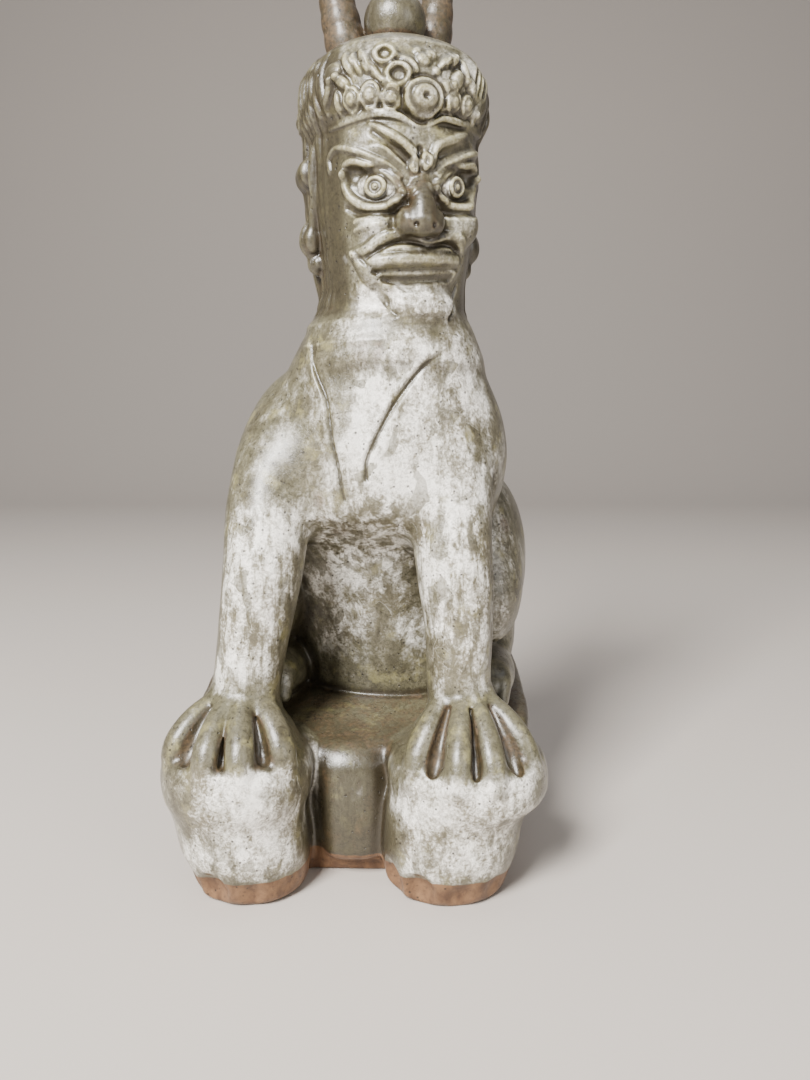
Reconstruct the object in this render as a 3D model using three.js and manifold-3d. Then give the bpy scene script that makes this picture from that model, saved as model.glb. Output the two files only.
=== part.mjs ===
// A seated guardian beast in glazed pottery: a horned, human-faced head on a lion's body, sitting on its
// haunches on a hollow plinth, with its forepaws on two projecting lobes. The pieces are the press-moulded
// shells and the rolled and applied clay that a potter lutes together. Millimetres, +Z up. The beast
// faces -Y, so its left side is +X. The origin is the centre of its footprint, on the surface it stands on.
import * as THREE from "three";
import { mergeVertices } from "three/addons/utils/BufferGeometryUtils.js";
import Module from "manifold-3d";

const wasm = await Module();
wasm.setup();

// ---- driving dimensions ----
const GAP = 0.3; // joint line left between luted pieces
const WALL = 6; // press-moulded wall
const SIDES = { left: 1, right: -1 }; // the beast's own sides
const VENT = { y: 26, rx: 13, ry: 12 }; // hole between the torso's hollow and the plinth's
const SEAM = { y: 34, lean: 0.3 }; // where the torso's front and back moulds meet

const PLINTH = {
  height: 43, // at the front edge
  rise: 0.17, // slope of the top, up towards the back
  halfWidthTop: 55,
  halfWidthBottom: 48,
  frontY: -32,
  backY: 60,
};
const LOBE = { height: 44, rimZ: 31, halfWidth: 23.5, frontY: -60, x: 35, footX: 30.5 };
const PAW = { x: 35, y: -39, radius: 17, rise: 12, toes: 4, toeSpread: 0.56 };
const TORSO = { x: 7, yaw: -5 * THREE.MathUtils.DEG2RAD };
const NECK_Z = 170; // joint between torso and neck
const HEAD = { x: 12, y: -14, yaw: 16 * THREE.MathUtils.DEG2RAD, hollow: 5 };
const HORN = { x: 10.5, y: 3, z: 73, length: 50, radius: 6, rings: 7 };
const CAP_Z = 57; // lower edge of the hair cap, above the neck joint

const COLOURS = {
  glaze: { color: 0x8d8a74, roughness: 0.38 },
  whitened: { color: 0xbdbbb0, roughness: 0.55 },
  clay: { color: 0xb48257, roughness: 0.9 },
};

function material(kind) {
  return new THREE.MeshStandardMaterial({ ...COLOURS[kind], metalness: 0 });
}

// ---- solids: three.js geometry in and out of manifold-3d ----
function toSolid(geometry) {
  const bare = geometry.clone();
  bare.deleteAttribute("normal");
  bare.deleteAttribute("uv");
  const merged = mergeVertices(bare, 1e-4);
  return new wasm.Manifold(
    new wasm.Mesh({
      numProp: 3,
      vertProperties: merged.attributes.position.array,
      triVerts: new Uint32Array(merged.index.array),
    }),
  );
}

function toGeometry(solid) {
  const mesh = solid.getMesh();
  const positions = new Float32Array(mesh.numVert * 3);
  for (let i = 0; i < mesh.numVert; i++) {
    const start = i * mesh.numProp;
    positions.set(mesh.vertProperties.subarray(start, start + 3), i * 3);
  }
  const geometry = new THREE.BufferGeometry();
  geometry.setAttribute("position", new THREE.BufferAttribute(positions, 3));
  geometry.setIndex(new THREE.BufferAttribute(mesh.triVerts, 1));
  geometry.computeVertexNormals();
  return geometry;
}

function piece(name, solid, kind) {
  const mesh = new THREE.Mesh(toGeometry(solid), material(kind));
  mesh.name = name;
  return mesh;
}

function without(solid, ...cutters) {
  return cutters.reduce((rest, cutter) => rest.subtract(cutter), solid);
}

// The largest of the bodies that a cut leaves: small offcuts behind a joint aren't part of the piece.
function largest(solid) {
  const bodies = solid.decompose();
  return bodies.reduce((a, b) => (b.volume() > a.volume() ? b : a));
}

// ---- shape makers ----
// A closed loft over rings {z, x, y, rx, ry, n}: n is the superellipse power, 2 for an ellipse.
function loft(rings, { sides = 24, grow = 0, extend = 0 } = {}) {
  const last = rings.length - 1;
  const geometry = new THREE.CylinderGeometry(1, 1, last, sides, last);
  const position = geometry.attributes.position;
  for (let i = 0; i < position.count; i++) {
    const ring = Math.round(position.getY(i) + last / 2);
    const { x = 0, y = 0, z, rx, ry, n = 2 } = rings[ring];
    const across = position.getX(i);
    const along = position.getZ(i);
    const isCentre = Math.hypot(across, along) < 0.5;
    const a = Math.max(rx + grow, 0.4);
    const b = Math.max(ry + grow, 0.4);
    const angle = Math.atan2(-along, across);
    const c = Math.cos(angle);
    const s = Math.sin(angle);
    const reach = isCentre ? 0 : (Math.abs(c / a) ** n + Math.abs(s / b) ** n) ** (-1 / n);
    const end = ring === 0 ? -extend - grow : ring === last ? extend + grow : 0;
    position.setXYZ(i, x + reach * c, y + reach * s, z + end);
  }
  return geometry;
}

// A closed rolled strip or limb along points [x, y, z, radius], with round cross-sections.
function roll(points, { sides = 10, steps = 10, grow = 0, ripple = () => 0 } = {}) {
  const curve = new THREE.CatmullRomCurve3(points.map((p) => new THREE.Vector3(...p)));
  const radii = points.map((p) => p[3]);
  const geometry = new THREE.CylinderGeometry(1, 1, steps, sides, steps);
  const position = geometry.attributes.position;
  const frames = curve.computeFrenetFrames(steps);
  const spot = new THREE.Vector3();
  for (let i = 0; i < position.count; i++) {
    const step = Math.round(position.getY(i) + steps / 2);
    const t = step / steps;
    const k = Math.min(t * (radii.length - 1), radii.length - 1.0001);
    const low = Math.floor(k);
    const radius = THREE.MathUtils.lerp(radii[low], radii[low + 1], k - low) + ripple(t) + grow;
    curve.getPoint(t, spot);
    const end = step === 0 ? -grow : step === steps ? grow : 0;
    spot.addScaledVector(frames.tangents[step], end);
    spot.addScaledVector(frames.normals[step], position.getX(i) * radius);
    spot.addScaledVector(frames.binormals[step], -position.getZ(i) * radius);
    position.setXYZ(i, spot.x, spot.y, spot.z);
  }
  return geometry;
}

function ellipsoid([x, y, z], [rx, ry, rz], grow = 0, across = 18, down = 12) {
  const geometry = new THREE.SphereGeometry(1, across, down);
  geometry.rotateX(Math.PI / 2);
  geometry.scale(rx + grow, ry + grow, rz + grow);
  return geometry.translate(x, y, z);
}

function block([x0, y0, z0], [x1, y1, z1]) {
  const geometry = new THREE.BoxGeometry(x1 - x0, y1 - y0, z1 - z0);
  return geometry.translate((x0 + x1) / 2, (y0 + y1) / 2, (z0 + z1) / 2);
}

// ---- plinth and its two front lobes ----
function plinthGeometry(grow = 0) {
  const { height, halfWidthTop, halfWidthBottom, frontY, backY } = PLINTH;
  const y = (frontY + backY) / 2;
  const halfDepth = (backY - frontY) / 2;
  const ring = (z, rx, ry) => ({ x: 0, y, z, rx, ry, n: 5 });
  const body = loft(
    [
      ring(0, halfWidthBottom, halfDepth - 3),
      ring(height * 0.6, halfWidthTop - 3, halfDepth - 1),
      ring(height - 4, halfWidthTop, halfDepth),
      ring(height, halfWidthTop - 2, halfDepth - 1.5),
    ],
    { sides: 28, grow },
  );
  return sloped(body);
}

// Lifts a shape made under a level plinth top to fit the sloping one: not at the foot, fully at the top.
function sloped(geometry) {
  const { height, rise, frontY } = PLINTH;
  const position = geometry.attributes.position;
  for (let i = 0; i < position.count; i++) {
    const share = THREE.MathUtils.clamp(position.getZ(i) / height, 0, 1);
    const back = Math.max(position.getY(i) - frontY, 0);
    position.setZ(i, position.getZ(i) + share * rise * back);
  }
  return geometry;
}

function plinthShell() {
  const { height, halfWidthBottom, frontY, backY } = PLINTH;
  const y = (frontY + backY) / 2;
  const halfDepth = (backY - frontY) / 2 - WALL;
  const inner = (z, rx) => ({ x: 0, y, z, rx, ry: halfDepth - 2, n: 5 });
  const cavity = loft(
    [inner(-1, halfWidthBottom - WALL), inner(height - WALL - 1, halfWidthBottom - WALL + 3)],
    { sides: 28 },
  );
  const vent = loft(
    [
      { x: TORSO.x, z: height - WALL - 3, ...VENT },
      { x: TORSO.x, z: height + 30, ...VENT },
    ],
    { sides: 20 },
  );
  return without(toSolid(plinthGeometry()), toSolid(sloped(cavity)), toSolid(vent));
}

function lobeGeometry(side) {
  const { height, rimZ, halfWidth, frontY, x, footX } = LOBE;
  const backY = -16;
  const ring = (z, cx, half, front) => ({
    x: side * cx,
    y: (front + backY) / 2,
    z,
    rx: half,
    ry: (backY - front) / 2,
    n: 2.6,
  });
  return loft(
    [
      ring(0, footX, halfWidth - 5, frontY + 9),
      ring(rimZ - 3, x - 1, halfWidth - 2.5, frontY + 3),
      ring(rimZ, x, halfWidth, frontY),
      ring(height - 3, x, halfWidth, frontY),
      ring(height, x, halfWidth - 2, frontY + 2),
    ],
    { sides: 24 },
  );
}

function lobe(side) {
  const { height } = LOBE;
  const hollow = loft(
    [
      { x: side * LOBE.footX, y: -34, z: -1, rx: 12, ry: 10, n: 2.6 },
      { x: side * LOBE.footX, y: -36, z: height - WALL - 2, rx: 14, ry: 14, n: 2.6 },
    ],
    { sides: 20 },
  );
  const whole = toSolid(lobeGeometry(side));
  return largest(without(whole, toSolid(hollow), toSolid(plinthGeometry(GAP))));
}

// Everything below the plinth's sloping top, with the joint's gap, to trim what stands on it.
function underPlinthTop() {
  const { height, frontY } = PLINTH;
  const span = 180;
  const slab = new THREE.BoxGeometry(span, span, height + GAP);
  return toSolid(sloped(slab.translate(0, frontY + span / 2, (height + GAP) / 2)));
}

// ---- torso ----
const TORSO_RINGS = [
  { z: 44, y: 28, rx: 31, ry: 25 },
  { z: 60, y: 25, rx: 34, ry: 28 },
  { z: 80, y: 19, rx: 34, ry: 29 },
  { z: 95, y: 12, rx: 34, ry: 31 },
  { z: 106, x: -1, y: 4, rx: 37, ry: 36 },
  { z: 119, x: -1.8, y: -1, rx: 41, ry: 38 },
  { z: 134, x: -0.7, y: -6, rx: 40.5, ry: 34 },
  { z: 149, x: 1.6, y: -10, rx: 36, ry: 29 },
  { z: 160, x: 2.9, y: -13, rx: 31, ry: 26.5 },
  { z: NECK_Z, x: 4, y: -14, rx: 26, ry: 24.5 },
];

function inTorsoFrame(geometry) {
  return geometry.rotateZ(TORSO.yaw).translate(TORSO.x, 0, 0);
}

function torsoGeometry(grow = 0) {
  return inTorsoFrame(loft(TORSO_RINGS, { sides: 24, grow }));
}

function torsoShell() {
  const hollowRings = TORSO_RINGS.map((ring) => ({
    ...ring,
    rx: ring.rx - WALL,
    ry: ring.ry - WALL,
  }));
  const cavity = inTorsoFrame(loft(hollowRings, { sides: 16, extend: 2 }));
  return without(toSolid(torsoGeometry()), toSolid(cavity), underPlinthTop());
}

// The seam between the front and back moulds, leaning with the body.
function torsoSeam(offset) {
  const half = block([-90, 0, 0], [90, 140, 220]);
  return toSolid(inTorsoFrame(half.rotateX(SEAM.lean).translate(0, SEAM.y + offset, 0)));
}

// ---- limbs ----
function forelegPoints(side) {
  const spread = side === SIDES.left ? 4 : 0;
  return [
    [side * 17 + spread, -16, 148, 11],
    [side * 22 + spread, -22, 134, 13],
    [side * 25.5 + spread, -27, 117, 13],
    [side * 27 + spread, -31, 100, 12],
    [side * 30 + spread * 0.6, -32.5, 80, 10.8],
    [side * 32.5, -33, 62, 10.2],
    [side * PAW.x, -34.5, 50, 11.5],
  ];
}

function forelegGeometry(side, grow = 0) {
  return roll(forelegPoints(side), { sides: 12, steps: 9, grow });
}

function pawGeometry(side, grow = 0) {
  const { x, y, radius, rise } = PAW;
  return ellipsoid([side * x, y, LOBE.height], [radius, radius + 1, rise], grow, 16, 8);
}

function toeGeometry(side, index, grow = 0) {
  const angle = (index - (PAW.toes - 1) / 2) * PAW.toeSpread;
  const at = (reach, z, radius) => [
    side * PAW.x + Math.sin(angle) * reach,
    PAW.y + 4 - Math.cos(angle) * reach,
    z,
    radius,
  ];
  return roll([at(9, 57.5, 3), at(15, 56.5, 4.1), at(20, 51, 4.5), at(21.5, 44, 3.8)], {
    sides: 7,
    steps: 5,
    grow,
  });
}

function haunchGeometry(side, grow = 0) {
  return inTorsoFrame(ellipsoid([side * 35, 17, 95], [15, 29, 31], grow, 16, 10));
}

function hindFootGeometry(side, grow = 0) {
  const foot = ellipsoid([side * 32, 4, PLINTH.height + 13], [11, 25, 10], grow, 14, 8);
  return inTorsoFrame(foot);
}

function hindLegGeometry(side, grow = 0) {
  const shank = [
    [side * 36, 27, 80, 12],
    [side * 36, 28, 66, 11],
    [side * 36, 24, 54, 10],
  ];
  return inTorsoFrame(roll(shank, { sides: 10, steps: 4, grow }));
}

function tailGeometry(grow = 0) {
  const points = [
    [-2, 51, 62, 4.2],
    [10, 54, 68, 4.6],
    [13, 52, 79, 4.6],
    [2, 49, 88, 4.4],
    [-6, 45, 99, 4],
    [2, 40, 109, 2.6],
  ];
  return inTorsoFrame(roll(points, { sides: 8, steps: 12, grow }));
}

function bodyPieces() {
  const group = new THREE.Group();
  const torso = toSolid(torsoGeometry(GAP));
  const shell = torsoShell();
  group.add(piece("torso_front_mould", without(shell, torsoSeam(-GAP / 2)), "whitened"));
  group.add(piece("torso_back_mould", shell.intersect(torsoSeam(GAP / 2)), "glaze"));

  const plinth = toSolid(plinthGeometry(GAP));
  const onLobe = toSolid(block([-90, -90, 0], [90, 90, LOBE.height + GAP]));
  const tableTop = underPlinthTop();
  for (const [name, side] of Object.entries(SIDES)) {
    const leg = without(toSolid(forelegGeometry(side)), torso, plinth, onLobe);
    const legCutter = toSolid(forelegGeometry(side, GAP));
    group.add(piece(`foreleg_${name}`, largest(leg), "whitened"));

    const paw = without(toSolid(pawGeometry(side)), onLobe, plinth, legCutter);
    group.add(piece(`forepaw_${name}`, largest(paw), "glaze"));
    const pawCutter = toSolid(pawGeometry(side, GAP));
    for (let i = 0; i < PAW.toes; i++) {
      const cutters = [pawCutter, legCutter, onLobe, plinth];
      if (i > 0) cutters.push(toSolid(toeGeometry(side, i - 1, GAP)));
      const toe = without(toSolid(toeGeometry(side, i)), ...cutters);
      group.add(piece(`forepaw_${name}_toe_${i + 1}`, largest(toe), "glaze"));
    }

    const haunch = without(toSolid(haunchGeometry(side)), torso, legCutter, tableTop);
    group.add(piece(`haunch_${name}`, largest(haunch), "glaze"));
    const haunchCutter = toSolid(haunchGeometry(side, GAP));
    const shank = without(toSolid(hindLegGeometry(side)), torso, haunchCutter, tableTop);
    group.add(piece(`hind_shank_${name}`, largest(shank), "glaze"));
    const foot = without(
      toSolid(hindFootGeometry(side)),
      torso,
      haunchCutter,
      toSolid(hindLegGeometry(side, GAP)),
      legCutter,
      tableTop,
    );
    group.add(piece(`hind_foot_${name}`, largest(foot), "glaze"));
  }
  group.add(piece("tail", largest(without(toSolid(tailGeometry()), torso, tableTop)), "glaze"));
  return group;
}

function basePieces() {
  const group = new THREE.Group();
  group.add(piece("plinth", plinthShell(), "glaze"));
  for (const [name, side] of Object.entries(SIDES)) {
    group.add(piece(`paw_lobe_${name}`, lobe(side), "clay"));
  }
  return group;
}

// ---- head, in its own frame: origin on the neck joint, face towards -Y ----
const HEAD_RINGS = [
  { z: 0, rx: 24, ry: 24 },
  { z: 7, rx: 22, ry: 22.5 },
  { z: 14, y: -1, rx: 21.5, ry: 24.5 },
  { z: 26, y: -1, rx: 23, ry: 26.5 },
  { z: 40, y: -1, rx: 24, ry: 27.5 },
  { z: 56, y: 0, rx: 24, ry: 27 },
  { z: 66, y: 0, rx: 22.5, ry: 25.5 },
  { z: 71, y: 0, rx: 18, ry: 21 },
  { z: 75, y: 0, rx: 12, ry: 14 },
];
const CAP_RINGS = [
  { z: CAP_Z, rx: 27, ry: 30.5 },
  { z: CAP_Z + 9, rx: 27, ry: 30.5 },
  { z: CAP_Z + 15, rx: 26, ry: 29 },
  { z: CAP_Z + 20, rx: 22, ry: 24.5 },
  { z: CAP_Z + 22.5, rx: 15, ry: 17 },
];

function headGeometry(grow = 0) {
  return loft(HEAD_RINGS, { sides: 24, grow });
}

function headShell() {
  const hollowRings = HEAD_RINGS.map((ring) => ({
    ...ring,
    rx: ring.rx - HEAD.hollow,
    ry: ring.ry - HEAD.hollow,
  }));
  hollowRings[hollowRings.length - 1].z -= HEAD.hollow;
  hollowRings[0].z -= 1;
  const floor = block([-60, -60, -10], [60, 60, GAP]);
  const lips = [-2, 2].map((dz) =>
    toSolid(ellipsoid([0, -24.5, 17.5 + dz], [11, 5, 2.4], 0, 14, 8)),
  );
  const chin = toSolid(ellipsoid([0, -20, 9], [9, 6, 5], 0, 14, 8));
  const cheeks = Object.values(SIDES).map((side) =>
    toSolid(ellipsoid([side * 13, -19, 26], [7, 6, 6], 0, 14, 8)),
  );
  const whole = [...lips, chin, ...cheeks].reduce((a, b) => a.add(b), toSolid(headGeometry()));
  return without(whole, toSolid(loft(hollowRings, { sides: 16 })), toSolid(floor));
}

function capGeometry(grow = 0) {
  return loft(CAP_RINGS, { sides: 28, grow });
}

// A point on the hair cap's outside, at an angle round from the front and a height, pushed out or in.
function onCap(angle, z, out = 0) {
  const upper = Math.max(
    1,
    CAP_RINGS.findIndex((ring) => ring.z >= z),
  );
  const [a, b] = [CAP_RINGS[upper - 1], CAP_RINGS[upper]];
  const k = (z - a.z) / (b.z - a.z);
  const rx = THREE.MathUtils.lerp(a.rx, b.rx, k) + out;
  const ry = THREE.MathUtils.lerp(a.ry, b.ry, k) + out;
  return new THREE.Vector3(rx * Math.sin(angle), -ry * Math.cos(angle), z);
}

// Turns a geometry whose outward side is +Z to stand on the cap at that angle.
function standOnCap(geometry, angle, z, lift = 0) {
  const spot = onCap(angle, z);
  const outward = new THREE.Vector3(Math.sin(angle), -Math.cos(angle), lift).normalize();
  const turn = new THREE.Quaternion().setFromUnitVectors(new THREE.Vector3(0, 0, 1), outward);
  return geometry.applyQuaternion(turn).translate(spot.x, spot.y, spot.z);
}

function eyeballs(group, head) {
  for (const [name, side] of Object.entries(SIDES)) {
    const ball = toSolid(ellipsoid([side * 11.2, -20, 38.5], [6.4, 7.4, 5], 0, 14, 10));
    group.add(piece(`eyeball_${name}`, largest(without(ball, head)), "whitened"));
    const brow = roll(
      [
        [side * 4, -28, 44, 1.6],
        [side * 9, -26.5, 49, 2],
        [side * 16, -22, 52, 1.5],
      ],
      { sides: 8, steps: 5 },
    );
    group.add(piece(`brow_${name}`, largest(without(toSolid(brow), head)), "glaze"));
  }
}

function nose(group, head) {
  const shape = loft(
    [
      { z: 22, y: -27, rx: 6.4, ry: 5 },
      { z: 25, y: -28.5, rx: 6.2, ry: 5.5 },
      { z: 33, y: -28, rx: 3.6, ry: 4.6 },
      { z: 42, y: -27, rx: 2.6, ry: 2.6 },
    ],
    { sides: 14 },
  );
  group.add(piece("nose", largest(without(toSolid(shape), head)), "clay"));
}

function ears(group, head, cap) {
  for (const [name, side] of Object.entries(SIDES)) {
    const ear = roll(
      [
        [side * 24.5, 1, 54, 2.4],
        [side * 26.5, 3, 46, 3.8],
        [side * 25.5, 2, 35, 3],
        [side * 25, 0, 26, 3.4],
        [side * 23, -1, 19, 1.6],
      ],
      { sides: 8, steps: 7 },
    );
    group.add(piece(`ear_${name}`, largest(without(toSolid(ear), head, cap)), "glaze"));
  }
}

function hair(group, head) {
  const capBody = largest(without(toSolid(capGeometry()), head));
  group.add(piece("hair_cap", capBody, "whitened"));
  const fallRings = [
    { z: 6, y: 2, rx: 24, ry: 26 },
    { z: 20, y: 3, rx: 26.5, ry: 29 },
    { z: 42, y: 2, rx: 27, ry: 30 },
    { z: CAP_Z - 2 * GAP, y: 0, rx: 27, ry: 30.5 },
  ];
  const front = toSolid(block([-60, -60, -10], [60, 7.5, 90]));
  const fall = without(toSolid(loft(fallRings, { sides: 28 })), head, front);
  group.add(piece("hair_back", largest(fall), "glaze"));
}

function hairBand(group, head, cap) {
  const points = [];
  for (let i = -6; i <= 6; i++) {
    const angle = (i / 6) * 1.35;
    points.push([24.6 * Math.sin(angle), -27.9 * Math.cos(angle), CAP_Z - 1.6, 1.5]);
  }
  const band = toSolid(roll(points, { sides: 6, steps: 12 }));
  group.add(piece("hair_band", largest(without(band, head, cap)), "whitened"));
}

// Applied curls on the cap: a front roundel with its boss, hollow ring curls, and a row of plain bosses.
function curls(group, cap) {
  const roundelZ = CAP_Z + 7;
  const disc = (grow) => {
    const flat = new THREE.CylinderGeometry(6 + grow, 6.6 + grow, 3.4 + 2 * grow, 20);
    return toSolid(standOnCap(flat.rotateX(Math.PI / 2), 0, roundelZ));
  };
  group.add(piece("front_roundel", largest(without(disc(0), cap)), "whitened"));
  const boss = new THREE.SphereGeometry(2.6, 14, 8).scale(1, 1, 0.6).translate(0, 0, 2.4);
  const bossBody = without(toSolid(standOnCap(boss, 0, roundelZ)), disc(GAP), cap);
  group.add(piece("front_roundel_boss", largest(bossBody), "whitened"));

  const ringSpots = [-0.42, -0.9, 0.5, 0.95];
  ringSpots.forEach((angle, i) => {
    const ring = new THREE.TorusGeometry(2.3, 1.2, 6, 10);
    const body = without(toSolid(standOnCap(ring, angle, CAP_Z + 16, 0.3)), cap);
    group.add(piece(`ring_curl_${i + 1}`, largest(body), "whitened"));
  });
  const bossSpots = [-1.75, -1.4, -1.05, -0.72, -0.4, 0.4, 0.72, 1.05, 1.4, 1.75];
  bossSpots.forEach((angle, i) => {
    const bump = new THREE.SphereGeometry(3.4, 10, 6).scale(0.95, 1.15, 0.75);
    const body = without(toSolid(standOnCap(bump, angle, CAP_Z + 6)), cap);
    group.add(piece(`hair_boss_${i + 1}`, largest(body), "whitened"));
  });
}

function horns(group, cap) {
  const { x, y, z, length, radius, rings } = HORN;
  for (const [name, side] of Object.entries(SIDES)) {
    const points = [0, 0.25, 0.5, 0.75, 1].map((t) => [
      side * (x + 6 * Math.sin(t * Math.PI * 0.7)),
      y + 8 * t * t,
      z + length * t,
      radius * (1 - 0.72 * t ** 1.6),
    ]);
    const horn = roll(points, {
      sides: 10,
      steps: rings * 4,
      ripple: (t) => 0.45 * Math.cos(t * rings * 2 * Math.PI) * (1 - t),
    });
    group.add(piece(`horn_${name}`, largest(without(toSolid(horn), cap)), "glaze"));
  }
  const ball = toSolid(ellipsoid([0, -4, 85], [8.6, 8.6, 8.6], 0, 14, 10));
  group.add(piece("crown_ball", largest(without(ball, cap)), "glaze"));
}

function headPieces() {
  const group = new THREE.Group();
  group.position.set(HEAD.x, HEAD.y, NECK_Z);
  group.rotation.z = HEAD.yaw;
  const shell = headShell();
  const seam = (y) => toSolid(block([-60, y, -10], [60, 60, 90]));
  group.add(piece("face_mould", without(shell, seam(3)), "whitened"));
  group.add(piece("skull_back_mould", shell.intersect(seam(3 + GAP)), "glaze"));
  const lipsAndHead = shell.add(toSolid(headGeometry(GAP)));
  const cap = toSolid(capGeometry(GAP));
  eyeballs(group, lipsAndHead);
  nose(group, lipsAndHead);
  hair(group, lipsAndHead);
  ears(group, lipsAndHead, cap);
  hairBand(group, lipsAndHead, cap);
  curls(group, cap);
  horns(group, cap);
  return group;
}

const beast = new THREE.Group();
beast.add(basePieces(), bodyPieces(), headPieces());

export default beast;
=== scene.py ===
import math
from concurrent.futures import ThreadPoolExecutor

import bpy
import numpy as np
import openvdb
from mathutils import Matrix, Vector


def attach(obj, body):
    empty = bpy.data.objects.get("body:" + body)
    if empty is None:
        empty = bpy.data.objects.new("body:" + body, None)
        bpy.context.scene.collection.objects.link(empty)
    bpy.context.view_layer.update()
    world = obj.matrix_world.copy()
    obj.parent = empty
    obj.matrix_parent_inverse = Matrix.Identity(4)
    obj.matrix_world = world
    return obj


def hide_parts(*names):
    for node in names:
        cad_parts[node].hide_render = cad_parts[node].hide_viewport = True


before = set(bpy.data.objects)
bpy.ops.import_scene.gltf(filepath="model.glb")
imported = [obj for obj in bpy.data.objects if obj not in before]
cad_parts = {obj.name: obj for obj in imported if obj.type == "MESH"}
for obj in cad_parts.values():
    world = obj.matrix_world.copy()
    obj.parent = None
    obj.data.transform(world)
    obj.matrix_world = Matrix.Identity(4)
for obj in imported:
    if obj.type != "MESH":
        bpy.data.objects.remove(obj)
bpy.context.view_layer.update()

MM = 0.001
SEED = 7
COARSE = 1.0
FAR = 40.0  # distance given to places that no shape reaches
REACH = 7.0  # how far round a shape its distances are worked out
SIDES = (("left", 1), ("right", -1))  # the beast's own sides, and the sign of x there


# ---- frames ----
class Place:
    """A frame turned about Z at an origin, in millimetres."""

    def __init__(self, origin, degrees):
        self.origin = np.array(origin, float)
        self.cos = math.cos(math.radians(degrees))
        self.sin = math.sin(math.radians(degrees))

    def local(self, x, y, z):
        across = x - self.origin[0]
        along = y - self.origin[1]
        return (
            self.cos * across + self.sin * along,
            self.cos * along - self.sin * across,
            z - self.origin[2],
        )

    def point(self, x, y, z):
        return np.array(
            [
                self.origin[0] + self.cos * x - self.sin * y,
                self.origin[1] + self.sin * x + self.cos * y,
                self.origin[2] + z,
            ]
        )


WORLD = Place((0, 0, 0), 0)
BODY = Place((7, 0, 0), -5)
HEAD = Place((12, -14, 170), 16)  # the origin is on the neck joint, and the face looks along its -Y


# ---- shapes ----
class Shape:
    def __init__(self, field, low, high):
        self.field = field
        self.low = np.array(low, float)
        self.high = np.array(high, float)


def smooth_rows(rows, count):
    """Rows of numbers, spaced out along a Catmull-Rom curve through the given rows."""
    rows = np.array(rows, float)
    padded = np.vstack([2 * rows[0] - rows[1], rows, 2 * rows[-1] - rows[-2]])
    out = []
    for t in np.linspace(0, len(rows) - 1, count):
        i = min(int(t), len(rows) - 2)
        f = t - i
        a, b, c, d = padded[i : i + 4]
        out.append(
            0.5 * (2 * b + (c - a) * f + (2 * a - 5 * b + 4 * c - d) * f**2 + (3 * b - a - 3 * c + d) * f**3)
        )
    return np.array(out)


def smooth_min(a, b, soft):
    if soft <= 0:
        return np.minimum(a, b)
    near = np.maximum(soft - np.abs(a - b), 0)
    return np.minimum(a, b) - near * near * (0.25 / soft)


def ellipse_distance(parts, radii):
    """Signed distance, to first order, from an ellipse or ellipsoid about the origin."""
    scaled = sum((p / r) ** 2 for p, r in zip(parts, radii))
    steep = sum((p / r**2) ** 2 for p, r in zip(parts, radii))
    ratio = np.sqrt(scaled)
    return (ratio - 1) * (ratio + 1e-4) / (np.sqrt(steep) + 1e-4 / np.min(radii[0]))


def ellipsoid(place, centre, radii, tilt=0.0):
    """Radii are along the place's axes, or those axes turned about Z by tilt degrees."""
    world = place.point(*centre)
    heading = math.degrees(math.atan2(place.sin, place.cos)) + tilt
    own = Place(world, heading)
    spread = np.array([max(radii[0], radii[1])] * 2 + [radii[2]], float)

    def field(x, y, z, reach):
        return ellipse_distance(own.local(x, y, z), radii)

    return Shape(field, world - spread, world + spread)


def chain(place, rows, count=0):
    """A rolled strip of clay along rows of x, y, z, radius. count smooths it with that many points."""
    rows = smooth_rows(rows, count) if count else np.array(rows, float)
    points = np.array([place.point(*row[:3]) for row in rows])
    radii = rows[:, 3]

    def field(x, y, z, reach):
        axes = [x.ravel(), y.ravel(), z.ravel()]
        out = np.full((x.size, y.size, z.size), FAR, np.float32)
        for a, b, ra, rb in zip(points[:-1], points[1:], radii[:-1], radii[1:]):
            low = np.minimum(a - ra, b - rb) - reach
            high = np.maximum(a + ra, b + rb) + reach
            spans = tuple(slice(*np.searchsorted(s, (lo, hi))) for s, lo, hi in zip(axes, low, high))
            if any(s.start >= s.stop for s in spans):
                continue
            dx = x[spans[0]] - a[0]
            dy = y[:, spans[1]] - a[1]
            dz = z[:, :, spans[2]] - a[2]
            way = b - a
            t = np.clip((dx * way[0] + dy * way[1] + dz * way[2]) / (way @ way + 1e-9), 0, 1)
            gap = (dx - t * way[0]) ** 2 + (dy - t * way[1]) ** 2 + (dz - t * way[2]) ** 2
            np.minimum(out[spans], np.sqrt(gap) - (ra + t * (rb - ra)), out=out[spans])
        return out

    spread = radii[:, None]
    return Shape(field, (points - spread).min(0), (points + spread).max(0))


def loft(place, rings, power=2.0, edge=2.0):
    """Rings of z, centre x, centre y, radius x, radius y. edge rounds the rims of its ends."""
    table = smooth_rows(rings, 60)
    corners = [
        place.point(cx + sx * rx, cy + sy * ry, z)
        for z, cx, cy, rx, ry in table
        for sx in (-1.1, 1.1)
        for sy in (-1.1, 1.1)
    ]

    def field(x, y, z, reach):
        lx, ly, lz = place.local(x, y, z)
        level = lz.ravel()
        cx, cy, rx, ry = (np.interp(level, table[:, 0], c).reshape(1, 1, -1) for c in table[:, 1:].T)
        if power == 2:
            wall = ellipse_distance((lx - cx, ly - cy), (rx, ry))
        else:
            ratio = np.abs((lx - cx) / rx) ** power + np.abs((ly - cy) / ry) ** power
            wall = (ratio ** (1 / power) - 1) * np.minimum(rx, ry)
        ends = np.maximum(table[0, 0] - lz, lz - table[-1, 0])
        return -smooth_min(-wall, -ends, edge)

    return Shape(field, np.min(corners, 0), np.max(corners, 0))


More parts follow.
